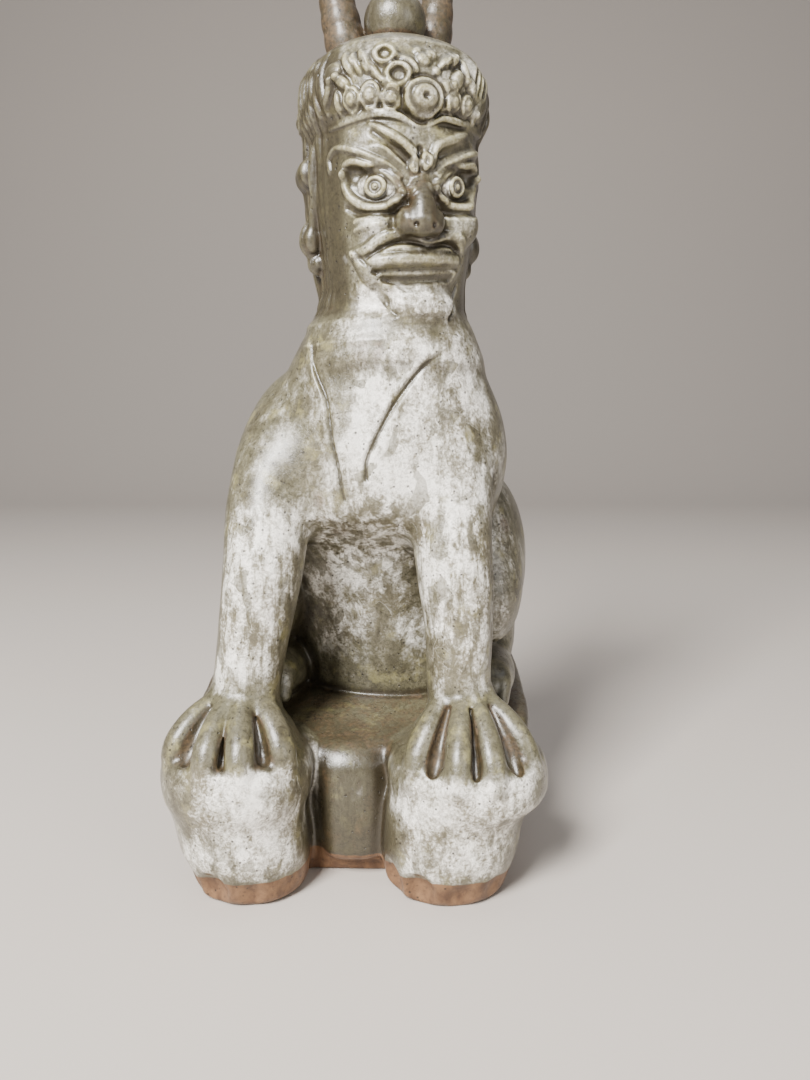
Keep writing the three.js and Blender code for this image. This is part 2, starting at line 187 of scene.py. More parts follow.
def block(place, low, high):
    """A box with signed distances, for the regions that split the clay into pieces."""
    low = np.array(low, float)
    high = np.array(high, float)
    middle = (low + high) / 2
    half = (high - low) / 2
    corners = [
        place.point(x, y, z) for x in (low[0], high[0]) for y in (low[1], high[1]) for z in (low[2], high[2])
    ]

    def field(x, y, z, reach):
        away = [np.abs(p - m) - h for p, m, h in zip(place.local(x, y, z), middle, half)]
        return np.maximum(np.maximum(away[0], away[1]), away[2])

    return Shape(field, np.min(corners, 0), np.max(corners, 0))


# ---- relief: heights laid on whatever surface is there ----
ROUND = 27.0  # radius at which an angle round the head is measured as a length
HEAD_DEPTHS = (12.0, 40.0)  # the radii between which relief lies round the head
CHEST_DEPTHS = (-70, -16)  # the y between which it lies straight across the chest


def relief(low, high, height_at, wraps=True):
    """Raises a patch bounded by low and high in u and z; u runs round the head, or across the chest."""
    if wraps:
        place = HEAD
        angles = np.linspace(low[0], high[0], 9) / ROUND
        outline = [(r * math.sin(a), -r * math.cos(a)) for a in angles for r in HEAD_DEPTHS]
    else:
        place = WORLD
        outline = [(u, y) for u in (low[0], high[0]) for y in CHEST_DEPTHS]
    spots = [place.point(px, py, z) for px, py in outline for z in (low[1], high[1])]

    def field(x, y, z, reach):
        lx, ly, lz = place.local(x, y, z)
        u = np.arctan2(lx, -ly) * ROUND if wraps else lx
        return height_at(u, lz)

    STEPS.append(("raise", Shape(field, np.min(spots, 0), np.max(spots, 0)), 0.0))


def bead(rows, count=0, wraps=True, power=0.8):
    """A ridge, or a groove where the height is negative, along rows of u, z, width, height."""
    rows = np.array(rows, float)
    if wraps:
        rows[:, 0] = np.radians(rows[:, 0]) * ROUND
    if count:
        rows = smooth_rows(rows, count)
    widest = rows[:, 2].max()

    def height_at(u, z):
        best = np.zeros(np.broadcast_shapes(u.shape, z.shape), np.float32)
        for a, b in zip(rows[:-1], rows[1:]):
            way = b[:2] - a[:2]
            t = np.clip(((u - a[0]) * way[0] + (z - a[1]) * way[1]) / (way @ way + 1e-9), 0, 1)
            gap = (u - a[0] - t * way[0]) ** 2 + (z - a[1] - t * way[1]) ** 2
            width = a[2] + t * (b[2] - a[2])
            height = a[3] + t * (b[3] - a[3])
            here = height * np.clip(1 - gap / width**2, 0, 1) ** power
            best = np.where(np.abs(here) > np.abs(best), here, best)
        return best

    relief(rows[:, :2].min(0) - widest, rows[:, :2].max(0) + widest, height_at, wraps)


def ring(angle, z, radius, width, height, stretch=1.0):
    """A raised ring round a point at an angle and a height; stretch makes it taller than it is wide."""
    centre = math.radians(angle) * ROUND

    def height_at(u, level):
        gap = np.sqrt((u - centre) ** 2 + ((level - z) / stretch) ** 2) - radius
        return height * np.clip(1 - (gap / width) ** 2, 0, 1) ** 0.8

    reach = (radius + width) * max(stretch, 1)
    relief((centre - reach, z - reach), (centre + reach, z + reach), height_at)


def dome(angle, z, across, tall, height, lean=0.0, power=0.6):
    """A raised oval, leaning over by lean degrees."""
    centre = math.radians(angle) * ROUND
    c, s = math.cos(math.radians(lean)), math.sin(math.radians(lean))

    def height_at(u, level):
        du, dz = u - centre, level - z
        ratio = ((c * du + s * dz) / across) ** 2 + ((c * dz - s * du) / tall) ** 2
        return height * np.clip(1 - ratio, 0, 1) ** power

    reach = max(across, tall)
    relief((centre - reach, z - reach), (centre + reach, z + reach), height_at)


# ---- the clay ----
class Field:
    """Signed distances on a grid. low is the grid's first corner and voxel its spacing, in millimetres."""

    def __init__(self, low, voxel, field):
        self.low = np.array(low, float)
        self.voxel = voxel
        self.field = field

    def sample(self, points):
        """The distances at points, between voxels; points outside the grid give FAR."""
        top = np.array(self.field.shape) - 1
        at = (points - self.low) / self.voxel
        outside = np.any((at < 0) | (at > top), axis=1)
        at = np.clip(at, 0, top - 1e-3)
        i = at.astype(int)
        f = at - i
        flat = self.field.ravel()
        stride = np.array([self.field.shape[1] * self.field.shape[2], self.field.shape[2], 1])
        base = i @ stride
        total = np.zeros(len(points))
        for corner in np.ndindex(2, 2, 2):
            weight = np.prod(np.where(corner, f, 1 - f), axis=1)
            total += weight * flat[base + np.array(corner) @ stride]
        total[outside] = FAR
        return total

    def gradient(self, points):
        """The slopes of the distances at points, and the same with a length of one."""
        step = 0.8 * self.voxel
        slopes = [self.sample(points + offset) - self.sample(points - offset) for offset in np.eye(3) * step]
        slope = np.stack(slopes, 1) / (2 * step)
        return slope, slope / (np.linalg.norm(slope, axis=1, keepdims=True) + 1e-9)


class Clay(Field):
    def __init__(self, low, high, voxel):
        counts = np.ceil((np.array(high) - np.array(low, float)) / voxel).astype(int) + 1
        super().__init__(low, voxel, np.full(counts, FAR, np.float32))
        self.axes = [(lo + voxel * np.arange(n)).astype(np.float32) for lo, n in zip(self.low, counts)]

    def grid(self, spans=(slice(None),) * 3):
        x, y, z = (axis[span] for axis, span in zip(self.axes, spans))
        return x.reshape(-1, 1, 1), y.reshape(1, -1, 1), z.reshape(1, 1, -1)

    def spans(self, shape, reach):
        """The slices of the grid within reach of a shape, or None where it doesn't meet the grid."""
        ends = zip(self.axes, shape.low - reach, shape.high + reach)
        spans = tuple(slice(*np.searchsorted(axis, (low, high))) for axis, low, high in ends)
        return None if any(s.start >= s.stop for s in spans) else spans

    def work(self, steps):
        for kind, shape, soft in steps:
            reach = REACH + soft
            spans = self.spans(shape, reach)
            if spans is None:
                continue
            here = self.field[spans]
            there = shape.field(*self.grid(spans), reach)
            if kind == "add":
                self.field[spans] = smooth_min(here, there, soft)
            elif kind == "carve":
                self.field[spans] = -smooth_min(-here, there, soft)
            else:
                self.field[spans] = here - there


def unevenness(clay, spacing, height, seed):
    """Smooth random lumps a given distance apart, the same everywhere however the grid is laid."""
    start = np.array([-100.0, -100.0, -30.0])
    counts = (np.array([200.0, 200.0, 360.0]) / spacing).astype(int) + 4
    lattice = np.random.default_rng(seed).uniform(-1, 1, counts).astype(np.float32)
    for axis in range(3):
        at = (clay.axes[axis] - start[axis]) / spacing[axis]
        i = at.astype(int)
        f = at - i
        weights = np.zeros((len(at), counts[axis]), np.float32)
        rows = np.arange(len(at))
        spline = (
            (1 - f) ** 3 / 6,
            (3 * f**3 - 6 * f**2 + 4) / 6,
            (-3 * f**3 + 3 * f**2 + 3 * f + 1) / 6,
            f**3 / 6,
        )
        for offset, part in enumerate(spline):
            weights[rows, np.clip(i + offset, 0, counts[axis] - 1)] += part
        lattice = np.moveaxis(np.tensordot(weights, lattice, axes=(1, axis)), 0, axis)
    clay.field += height * lattice


def soften(clay, spread):
    """Rounds ridges and fills creases, as glaze does: a blur with a standard deviation in millimetres."""
    passes = max(1, round(2 * (spread / clay.voxel) ** 2))
    for axis in range(3):
        f = np.moveaxis(clay.field, axis, 0)
        for _ in range(passes):
            f[1:-1] = 0.25 * (f[:-2] + f[2:]) + 0.5 * f[1:-1]


STEPS = []


def add(shape, soft=0.0):
    STEPS.append(("add", shape, soft))


def carve(shape, soft=0.0):
    STEPS.append(("carve", shape, soft))


# ---- the base ----
PLINTH_FRONT = -32.0
PLINTH_BACK = 59.5
PLINTH_HEIGHT = 43.0  # at the front edge
PLINTH_RISE = 0.17  # slope of its top, up towards the back
LOBE_X = 35.0
LOBE_FOOT_X = 30.5
LOBE_Y = -37.0
LOBE_TOP = 44.0
LOBE_FOOT_SHIFT = -1.6  # both lobes' feet stand this far to one side
LOBE_GIRTH = {1: 1.02, -1: 0.955}  # how wide each side's lobe is, beside the rings below
BASE_SHIFT = 1.5  # the plinth's middle, and how much wider than its rings each half is


def plinth_shape(inset, top_drop):
    y = (PLINTH_FRONT + PLINTH_BACK) / 2
    half_depth = (PLINTH_BACK - PLINTH_FRONT) / 2
    widths = ((0, 48, 3), (8, 49.5, 2), (26, 52.5, 1), (38, 55, 0), (70, 55, 0))
    wider = BASE_SHIFT - inset
    rings = [(z, BASE_SHIFT, y, half + wider, half_depth - shrink - inset) for z, half, shrink in widths]
    walls = loft(WORLD, rings, power=5.0, edge=1.5)

    def field(x, y, z, reach):
        top = (z - PLINTH_HEIGHT + top_drop - PLINTH_RISE * (y - PLINTH_FRONT)) * 0.98
        return -smooth_min(-walls.field(x, y, z, reach), -top, 4.0)

    return Shape(field, walls.low, walls.high)


def model_base():
    add(plinth_shape(0, 0))
    # The step between the lobes: a rounded block that leans forward as it goes down.
    add(loft(WORLD, [(6, 0, -25, 10, 12), (24, 0, -25, 12, 12.5), (40, -1, -24, 11, 11.5)], 3.2, 5.0), 4.0)
    add(ellipsoid(WORLD, (-2, -30, 33), (9.5, 6, 9)), 4.0)
    for side in (1, -1):
        foot = side * LOBE_FOOT_X + LOBE_FOOT_SHIFT
        rim = side * LOBE_X
        lobe_rings = [
            (0, foot, -34, 17.0, 17.0),
            (4, foot, -34.4, 18.6, 18.4),
            (14, foot + side * 1.2, -35.5, 20.4, 20.2),
            (25, foot + side * 2.6, -36.2, 21.0, 20.8),
            (32, rim, LOBE_Y, 23.2, 22.6),
            (39, rim, LOBE_Y, 23.8, 23.2),
            (LOBE_TOP + 1, rim, LOBE_Y, 22.0, 21.6),
        ]
        lobe_rings = [(z, x, y, across * LOBE_GIRTH[side], along) for z, x, y, across, along in lobe_rings]
        add(loft(WORLD, lobe_rings, 2.15, 3.0), 3.0)
    # The walls, trimmed with a few strokes of a knife.
    for side in (1, -1):
        for i, y in enumerate((-4, 13, 29, 45)):
            x = BASE_SHIFT + side * (64.5 + 0.5 * (i % 2))
            carve(ellipsoid(WORLD, (x, y, 22 + 4 * (i % 2)), (9, 13, 30)), 1.5)
    for i, x in enumerate((-42, -21, 1, 22, 43)):
        carve(ellipsoid(WORLD, (x, 67.4 + 0.5 * (i % 2), 26 - 4 * (i % 2)), (15, 9, 32)), 1.5)
    # The knife's facets round the foot of each lobe.
    for side in (1, -1):
        for degrees in (-150, -118, -84, -52, -20):
            angle = math.radians(degrees)
            spot = (
                side * LOBE_FOOT_X + 25.5 * math.cos(angle),
                -34 + 24.5 * math.sin(angle),
                3 + 2 * math.cos(degrees),  # uneven heights
            )
            carve(ellipsoid(WORLD, spot, (7.4, 7.4, 9.0)), 1.0)


def model_hollows():
    """The hollow under the plinth and its lobes, open below, and the vent up into the body."""
    carve(plinth_shape(6, 7))
    for side in (1, -1):
        carve(loft(WORLD, [(-6, side * LOBE_FOOT_X, -33, 12, 10), (34, side * 31, -35, 14, 13)], 2.4, 3.0))
    carve(loft(WORLD, [(30, 0, 26, 13, 12), (74, 0, 26, 12, 11)], 2.0, 4.0))


# ---- the body ----
TORSO_RINGS = [
    (40, 0, 26, 31, 24),
    (60, 0, 23, 33, 26),
    (80, 0, 18, 33.5, 27),
    (95, 0, 12, 34, 28.5),
    (103, -1, 9, 35.5, 31),
    (109, -1, 4.5, 37.5, 34.5),
    (115, -1.5, 0, 39.5, 37),
    (123, -0.7, -3, 40.2, 36),
    (134, 0.3, -6, 39.4, 33.5),
    (148, 2.5, -9.5, 34.8, 29),
    (160, 4.2, -12, 29.4, 26),
    (167, 4.8, -13, 25.8, 24.6),
    (172, 4.8, -13, 23, 22.6),
    (176, 4.8, -13, 19.4, 19),
]
PAW_REACH = 20.6
PAW_TOES = ((60, 1.0), (18, 1.05), (-11, 1.1), (-50, 1.15))  # angle from straight ahead and size
PAW_HOLLOWS = ((39, 1.4), (3, 0.85), (-31, 1.15))
TOE_DROP = {1: 4.2, -1: 0.8}  # how far the toes of each side hang over the rim


def foreleg_rows(side):
    spread = 4 if side > 0 else 0
    return [
        (side * 19 + spread, -9, 146, 7),
        (side * 22.5 + spread, -19.5, 133, 11.6),
        (side * 25.5 + spread, -26, 117, 12.6),
        (side * 27 + spread, -31, 100, 12.2),
        (side * 30 + spread * 0.6, -32.5, 80, 10.9),
        (side * 32.5, -33, 64, 10.3),
        (side * 34, -34, 55, 11.5),
    ]


def haunch_shape(side, grow=0.0):
    return ellipsoid(BODY, (side * 35, 17, 95), (15 + grow, 28 + grow, 30.5 + grow))


def tail_rows(grow=0.0):
    rows = [
        (-2, 51, 60, 4.4),
        (10, 53.5, 67, 4.8),
        (13, 52, 79, 4.8),
        (3, 49, 89, 4.6),
        (-6, 45, 99, 4.2),
        (1, 41, 109, 2.8),
    ]
    return [(x, y, z, r + grow) for x, y, z, r in rows]


def model_body():
    add(loft(BODY, TORSO_RINGS, 2.15, 2.0), 1.5)
    for side in (1, -1):
        add(ellipsoid(BODY, (side * 27, -6, 132), (13, 17, 21)), 9.0)
        add(chain(WORLD, foreleg_rows(side), 30), 8.0)
        elbow = [(side * 32, -18, 112, 8), (side * 32, -23, 92, 6.5), (side * 33, -26, 74, 4)]
        add(chain(WORLD, elbow, 10), 6.0)
        add(haunch_shape(side), 1.6)
        add(ellipsoid(BODY, (side * 38, -2, 84), (9, 12, 15)), 7.0)
        shank = [(side * 35, 27, 76, 12), (side * 36, 28, 64, 11), (side * 35, 22, 56, 10)]
        add(chain(BODY, shank, 8), 3.0)
        add(ellipsoid(BODY, (side * 36, 4, 57), (10.5, 23, 9.5)), 2.5)
        for x in (30.5, 36, 41.5):
            toe = [(side * x, -3, 61, 3.0), (side * x, -12, 58.5, 3.6), (side * x, -15, 53, 2.8)]
            add(chain(BODY, toe, 8), 1.2)
    add(chain(BODY, tail_rows(), 30), 1.5)
    # the spine, and the blades of the shoulders
    spine = [(0, 50, 92, 4), (0, 41, 112, 5), (0, 33, 130, 5), (1, 21, 150, 5), (3, 12, 168, 5)]
    add(chain(BODY, spine, 16), 7.0)
    model_paws()
    model_chest_lines()


def paw_rows(side, degrees, levels):
    """Rows from the wrist down to the lobe's rim, at an angle outwards from straight ahead."""
    wrist = np.array([side * 34.0, -31.0])
    centre = np.array([side * LOBE_X, LOBE_Y])
    angle = math.radians(degrees * side)
    out = np.array([math.sin(angle), -math.cos(angle)])
    rows = []
    for reach, level, radius in levels:
        share = reach / PAW_REACH
        rows.append((*(wrist * (1 - share) + centre * share + out * reach), level, radius))
    return rows


def model_paws():
    for side in (1, -1):
        drop = TOE_DROP[side]
        add(ellipsoid(WORLD, (side * 34.8, -36.5, 44), (18.6, 17.8, 15.6)), 3.0)
        add(ellipsoid(WORLD, (side * LOBE_X, LOBE_Y, 43.5), (19.5, 18.5, 5)), 2.5)
        for degrees, size in PAW_TOES:
            levels = [
                (5, 59.8, 3.3),
                (9, 58.2, 3.5),
                (14, 55.2 - 0.2 * drop, 3.7),
                (17.8 + 0.1 * drop, 50.8 - 0.5 * drop, 3.9),
                (19.4 + 0.2 * drop, 47 - 0.8 * drop, 3.8),
                (20 + 0.3 * drop, 44 - drop, 3.0),
            ]
            levels = [(reach, level, radius * size) for reach, level, radius in levels]
            add(chain(WORLD, paw_rows(side, degrees, levels), 14), 1.8)
        # the hollows between the toes
        for degrees, size in PAW_HOLLOWS:
            levels = [
                (11, 58.4, 0.3),
                (14, 55.6 - 0.2 * drop, 0.9),
                (16.6 + 0.1 * drop, 52.2 - 0.45 * drop, 1.4),
                (18.2 + 0.2 * drop, 49 - 0.7 * drop, 1.8),
                (19.4 + 0.3 * drop, 46.8 - 0.9 * drop, 1.5),
            ]
            levels = [(reach, level, radius * size) for reach, level, radius in levels]
            carve(chain(WORLD, paw_rows(side, degrees, levels), 12), 1.0)


def model_chest_lines():
    steep = [(-11, 167), (-10.5, 160), (-9, 155), (-6.6, 149), (-5.2, 138), (-3.4, 130), (-1.8, 120)]
    slanting = [(26.5, 162), (21.7, 159), (17.4, 154), (13.4, 148.5), (9.7, 142)]
    slanting += [(6.8, 136), (5, 131.5), (4.7, 126)]
    for points, width, deep in ((steep, 0.65, 1.3), (slanting, 0.8, 1.4)):
        rows = [(x, z, width, -deep) for x, z in points]
        bead(rows, 24, wraps=False, power=1.0)
        lip = [(x - 1.6, z + 0.2, 1.1, 0.55) for x, z in points]
        bead(lip, 24, wraps=False, power=1.0)
    # the wiped band where the neck was luted on
    for z, width, deep in ((165.6, 0.9, 0.7), (168.6, 1.6, -0.5), (171.8, 1.2, 0.5)):
        rows = [(x, z + rise, width, deep) for x, rise in ((-14, -0.6), (2, 0), (16, 0.4), (32, 1))]
        bead(rows, 12, wraps=False, power=1.0)
    # the slot under the chest, and the groove down the outside of the left foreleg
    carve(ellipsoid(WORLD, (-7, -29.5, 107.4), (3.2, 4.4, 1.1)), 1.0)
    groove = [(43.5, -25, 126, 1.0), (44.8, -29, 112, 1.6), (43.6, -33, 101, 2.0)]
    groove += [(43.6, -35, 86, 1.5), (43, -36, 70, 0.8)]
    carve(chain(WORLD, groove, 16), 1.6)


# ---- the head ----
SKULL_RINGS = [
    (-8, 0, 0, 25.5, 25),
    (0, 0, 0, 23.4, 23.6),
    (6, 0, 0, 21.6, 22.2),
    (13, 0, -1, 21.3, 24.2),
    (26, 0, -1, 22.8, 26.3),
    (40, 0, -1, 24, 27.3),
    (56, 0, 0, 24, 27),
    (66, 0, 0, 22.5, 25.5),
    (74, 0, 0, 14, 16),
]
CAP_RINGS = [
    (52, 0, 0, 23.0, 26.2),
    (54.5, 0, 0, 24.6, 28.0),
    (58, 0, 0, 26.2, 29.6),
    (62, 0, 0, 26.8, 30.2),
    (67, 0, 0, 26.8, 30.2),
    (72, 0, 0, 25.6, 28.8),
    (76, 0, 0, 22.8, 25.8),
    (79.5, 0, 0, 17.4, 19.6),
    (81.2, 0, 0, 10, 11),
]
EYE_LIFT = {1: 1.3, -1: 0}  # the left eye sits this much higher
EYE_ANGLE = 25.5  # degrees round from the face


def on_rings(rings, degrees, z, out=0.0):
    """A point of the head's frame on rings' surface, at an angle round from the face."""
    table = np.array(rings, float)
    cx, cy, rx, ry = (np.interp(z, table[:, 0], column) for column in table[:, 1:].T)
    angle = math.radians(degrees)
    return (cx + (rx + out) * math.sin(angle), cy - (ry + out) * math.cos(angle), z)


def on_face(degrees, z, out=0.0):
    return on_rings(SKULL_RINGS, degrees, z, out)


def on_cap(degrees, z, out=0.0):
    return on_rings(CAP_RINGS, degrees, z, out)


def eyeball(side, grow=0.0):
    angle = side * EYE_ANGLE
    radii = (7.6 + grow, 6.6 + grow, 5.4 + grow)
    return ellipsoid(HEAD, on_face(angle, 37.0 + EYE_LIFT[side], -5.4), radii, angle)


def model_eyes():
    for side in (-1, 1):
        lift = EYE_LIFT[side]

        def rows(points, width, height):
            return [(-side * angle, z + lift, width, height) for angle, z in points]

        carve(ellipsoid(HEAD, on_face(side * 29, 37.6 + lift, 1.6), (8.8, 3.4, 5.4), side * 29), 1.2)
        carve(ellipsoid(HEAD, on_face(side * 41, 40.4 + lift, 0.8), (3.4, 2.6, 3.0), side * 41), 1.0)
        add(eyeball(side), 0.6)
        fold = [(-59, 43), (-59.5, 46.5), (-53, 48.4), (-44, 47.6)]
        fold += [(-34, 45.9), (-25, 43.8), (-17, 41.9), (-11, 39.2)]
        bead(rows(fold, 1.15, 0.85), 30)
        upper = [(-45.5, 40.6), (-44, 43), (-37.5, 43.6), (-28, 42.2), (-19, 40.4), (-13, 38.2), (-10, 35.6)]
        bead(rows(upper, 1.3, 1.25), 30)
        lower = [(-45.5, 40.6), (-44.5, 37.2), (-39.5, 34.0), (-31, 31.9)]
        lower += [(-22, 31.4), (-15, 32.2), (-10, 34.6)]
        bead(rows(lower, 1.5, 1.35), 30)
        bead(rows([(-15, 32.2), (-9, 33.2), (-5, 35.6)], 1.3, 0.8), 10)
        ring(side * 24.6, 36.7 + lift, 2.4, 0.85, 1.1)
        dome(side * 24.6, 36.7 + lift, 1.2, 1.2, 0.8)
        bead(rows([(-44, 32.2), (-34, 29.8), (-22, 29.2), (-13, 30.4)], 1.1, -0.7), 14)


def model_brows():
    for side in (-1, 1):
        add(ellipsoid(HEAD, on_face(side * 27, 48.4, -3.2), (9.5, 5.0, 5.2), side * 27), 4.0)
    bead([(-27, 53.2, 1.0, 0.5), (-17.4, 50.2, 1.4, 1.1), (-10.5, 48, 1.5, 1.3), (-3.4, 45.6, 1.4, 1.1)], 16)
    bead([(-25, 50.8, 1.3, -0.7), (-14, 46.8, 1.5, -1.2), (-5.5, 43.2, 1.3, -1.1)], 12)
    left = [(7.4, 42.6, 1.1, 0.9), (8.2, 45.2, 1.3, 1.2), (11, 48, 1.4, 1.2)]
    left += [(20, 50.3, 1.5, 1.0), (34, 53.4, 1.3, 0.6)]
    bead(left, 18)
    bead([(12, 45.4, 1.2, -0.8), (22, 47.6, 1.4, -1.0), (36, 50, 1.2, -0.6)], 12)
    for angle, z in ((-2.4, 42.2), (3.4, 43.4)):
        dome(angle, z, 1.7, 2.6, 1.7, power=0.45)
        dome(angle, z + 0.2, 0.7, 1.5, -0.9)
    bead([(0.4, 47, 0.8, -0.9), (0.4, 40, 0.8, -1.3)], 0)
    bead([(-8, 46.2, 0.5, -0.3), (-20, 47.6, 0.5, -0.35), (-29, 47.4, 0.5, -0.3)], 8)


def model_nose():
    bridge = [(0.6, -26.2, 40, 1.9), (0.4, -28.8, 36, 2.7), (0.3, -31.0, 31.5, 3.5), (0.2, -31.6, 27.4, 4.2)]
    add(chain(HEAD, bridge, 12), 1.2)
    add(ellipsoid(HEAD, (0.2, -30.4, 26.2), (5.4, 4.4, 2.8)), 1.2)
    for x in (-4.3, 4.4):
        add(ellipsoid(HEAD, (x, -29.2, 27.4), (2.6, 4.4, 3.6)), 1.8)
    carve(ellipsoid(HEAD, (0, -34, 20.6), (8, 6, 2.4)), 0.8)
    for x in (-2.4, 2.7):
        carve(ellipsoid(HEAD, (x, -34.5, 25.8), (0.55, 1.1, 0.55)), 0.3)
    for angle in (-11, 11.6):
        add(ellipsoid(HEAD, on_face(angle, 32.4, -1.2), (3.2, 2.2, 3.0), angle), 2.0)
    bead([(-14.4, 30.5, 1.2, -0.5), (-15.2, 26.0, 1.2, -0.6)], 6)
    bead([(15.0, 31, 1.2, -0.5), (16, 26.6, 1.2, -0.6)], 6)


def model_mouth():
    add(ellipsoid(HEAD, on_face(0, 18.0, -4.6), (14.5, 6.4, 6.6)), 3.4)
    moustache = [
        (-41, 19.4, 1.4, 0.8),
        (-31, 20.2, 1.7, 1.1),
        (-24, 22.0, 1.8, 1.25),
        (-14, 24.0, 1.6, 1.1),
        (-6, 24.4, 1.4, 0.8),
        (1, 23.4, 1.3, 0.8),
        (6, 22.6, 1.3, 0.8),
        (12, 23.4, 1.3, 0.8),
        (18, 24.4, 1.5, 1.0),
        (25, 24.0, 1.6, 1.1),
        (31, 21.6, 1.6, 0.9),
        (36, 18.6, 1.3, 0.5),
    ]
    bead(moustache, 44)
    bead([(-41, 19.4, 1.4, 0.8), (-36.5, 16.4, 1.8, 1.3), (-32, 13.8, 2.4, 1.4), (-29, 12.4, 2.0, 1.0)], 14)
    under = [
        (-30, 18.4, 0.8, -0.5),
        (-22, 20.4, 0.9, -0.9),
        (-12, 21.9, 0.8, -0.8),
        (0, 21.8, 0.7, -0.6),
        (8, 21.2, 0.7, -0.6),
        (18, 22.2, 0.8, -0.9),
        (27, 21.0, 0.8, -0.6),
    ]
    bead(under, 26)
    bead([(-20, 20.6, 1.0, 0.5), (-6, 20.8, 1.2, 0.7), (8, 20.6, 1.2, 0.6), (22, 21.2, 1.0, 0.5)], 14)
    lip = [(-28, 16.6, 1.4, 0.6), (-18, 17.2, 1.9, 1.0), (-4, 17.6, 2.1, 1.2)]
    lip += [(10, 18.0, 2.1, 1.2), (26, 18.4, 1.5, 0.7)]
    bead(lip, 18)
    gap = [(-28, 14.2, 0.7, -0.7), (-18, 14.9, 0.9, -1.3), (-2, 15.2, 1.0, -1.5)]
    gap += [(14, 15.7, 0.9, -1.3), (29, 16.2, 0.7, -0.7)]
    bead(gap, 18)
    bead([(-20, 12.6, 1.7, -1.0), (0, 12.8, 2.0, -1.5), (24, 14.0, 1.7, -1.0)], 12)
    # the chin, and the hollow between it and the jaw
    add(ellipsoid(HEAD, on_face(10, 5.4, -1.8), (11.0, 6.0, 6.2), 10), 2.0)
    for z in (3.0, 5.4, 7.8):
        bead([(-8, z, 0.8, 0.2), (8, z + 0.4, 1.0, 0.35), (26, z + 0.8, 0.8, 0.2)], 10)
    bead([(-29, 9.8, 1.4, -0.6), (-21, 7.4, 1.9, -1.2), (-13, 3.4, 1.5, -0.7)], 10)
    bead([(-24, 11.8, 1.0, 0.5), (-15, 9.8, 1.3, 0.7), (-7, 7.8, 1.0, 0.3)], 10)
    bead([(38, 12, 1.1, -0.9), (33, 6.4, 1.4, -1.2), (27, 2.4, 1.1, -0.7)], 10)


def model_cheeks():
    add(ellipsoid(HEAD, on_face(-29, 26.8, -2.6), (7.4, 5.4, 4.8), -29), 2.2)
    add(ellipsoid(HEAD, on_face(38, 28.4, -0.9), (7.0, 5.8, 6.4), 38), 2.4)
    add(ellipsoid(HEAD, on_face(-40, 21.4, -3.6), (5.0, 5.0, 4.6), -40), 3.0)
    for z, height in ((28.6, 0.5), (26.4, 0.5)):
        bead([(-38, z - 0.8, 0.9, height), (-30, z, 1.1, height), (-21, z + 0.4, 0.9, height)], 10)


def model_ears_and_hair():
    hair_rings = [(2, 0, 3, 19.5, 21), (16, 0, 4, 22.5, 24.5), (30, 0, 4, 24.2, 26.6)]
    hair_rings += [(46, 0, 3, 25.2, 28), (60, 0, 0, 26.0, 29.4)]
    hair = loft(HEAD, hair_rings, 2.0, 3.0)
    front = block(HEAD, (-60, -60, -20), (60, 2, 100))

    def behind(x, y, z, reach):
        return -smooth_min(-hair.field(x, y, z, reach), front.field(x, y, z, reach), 2.0)

    add(Shape(behind, hair.low, hair.high), 1.2)
    for side in (-1, 1):
        helix = [(23.4, -6.0, 53, 0.9), (24.2, -4.6, 49, 1.3), (24.6, -3.6, 43, 1.3)]
        helix += [(24.4, -3.2, 37, 1.0), (24.4, -1.4, 30, 1.4)]
        add(chain(HEAD, [(side * x, y, z, r) for x, y, z, r in helix], 14), 1.0)
        add(ellipsoid(HEAD, (side * 25.0, 3.6, 45.6), (2.9, 4.6, 4.0)), 1.0)
        add(ellipsoid(HEAD, (side * 24.6, 0.2, 26.2), (2.9, 3.4, 4.3)), 0.9)
        add(ellipsoid(HEAD, (side * 23.0, 0.8, 19.6), (2.2, 2.6, 2.8)), 1.2)
        carve(ellipsoid(HEAD, (side * 26.4, -0.4, 37), (1.6, 1.3, 5.0)), 0.8)


def model_strands():
    """Combed strands, from the crown down the sides and the back, and the mould's seam between them."""
    for side in (-1, 1):
        for i, degrees in enumerate(range(66, 175, 6)):
            sway = 2.4 * math.sin(i * 1.7 + side)
            height = 0.85 + 0.35 * math.sin(i * 2.3 + side)
            below = height if degrees > 84 else 0.34
            rows = [
                (degrees + 3, 75, 0.9, height * 0.6),
                (degrees - 2, 66, 1.3, height * 0.7),
                (degrees, 56, 1.3, height * 0.9),
                (degrees + sway, 42, 1.4, below),
                (degrees - sway, 22, 1.3, below),
                (degrees + sway * 0.5, 5, 1.1, height * 0.4),
            ]
            bead([(side * angle, z, width, rise) for angle, z, width, rise in rows], 14)
        for i in range(6):
            start = 56 + 7 * i
            sweep = [(start, 57.5, 0.9, 0.5), (start + 4, 63, 1.6, 0.9)]
            sweep += [(start + 6, 69, 1.5, 0.8), (start + 2, 74.5, 0.9, 0.4)]
            bead([(side * angle, z, width, rise) for angle, z, width, rise in sweep], 12)
    seam = [(0, 28.6, 73), (0.6, 29.4, 66), (0, 29, 56), (-0.6, 30.4, 44)]
    seam += [(0.5, 30, 30), (0, 27.8, 16), (0, 24.2, 4)]
    add(chain(HEAD, [(*spot, 1.4) for spot in seam], 20), 1.5)


def curl(degrees, z, across, tall, height=1.4, lean=0.0):
    """A flattened ball of hair with a sunk ring in its face."""
    dome(degrees, z, across, tall, height, lean, 0.3)
    ring(degrees, z, across * 0.6, 0.55, -0.6, tall / across)


def hollow_ring(degrees, z, radius, width):
    dome(degrees, z, radius + 1.2, radius + 1.2, 0.8, power=0.35)
    ring(degrees, z, radius, width, 1.1)
    dome(degrees, z, radius - width * 0.7, radius - width * 0.7, -1.0, power=0.3)


ROUNDEL = (1.8, 59.4)  # the angle and the height of the round boss on the brow band


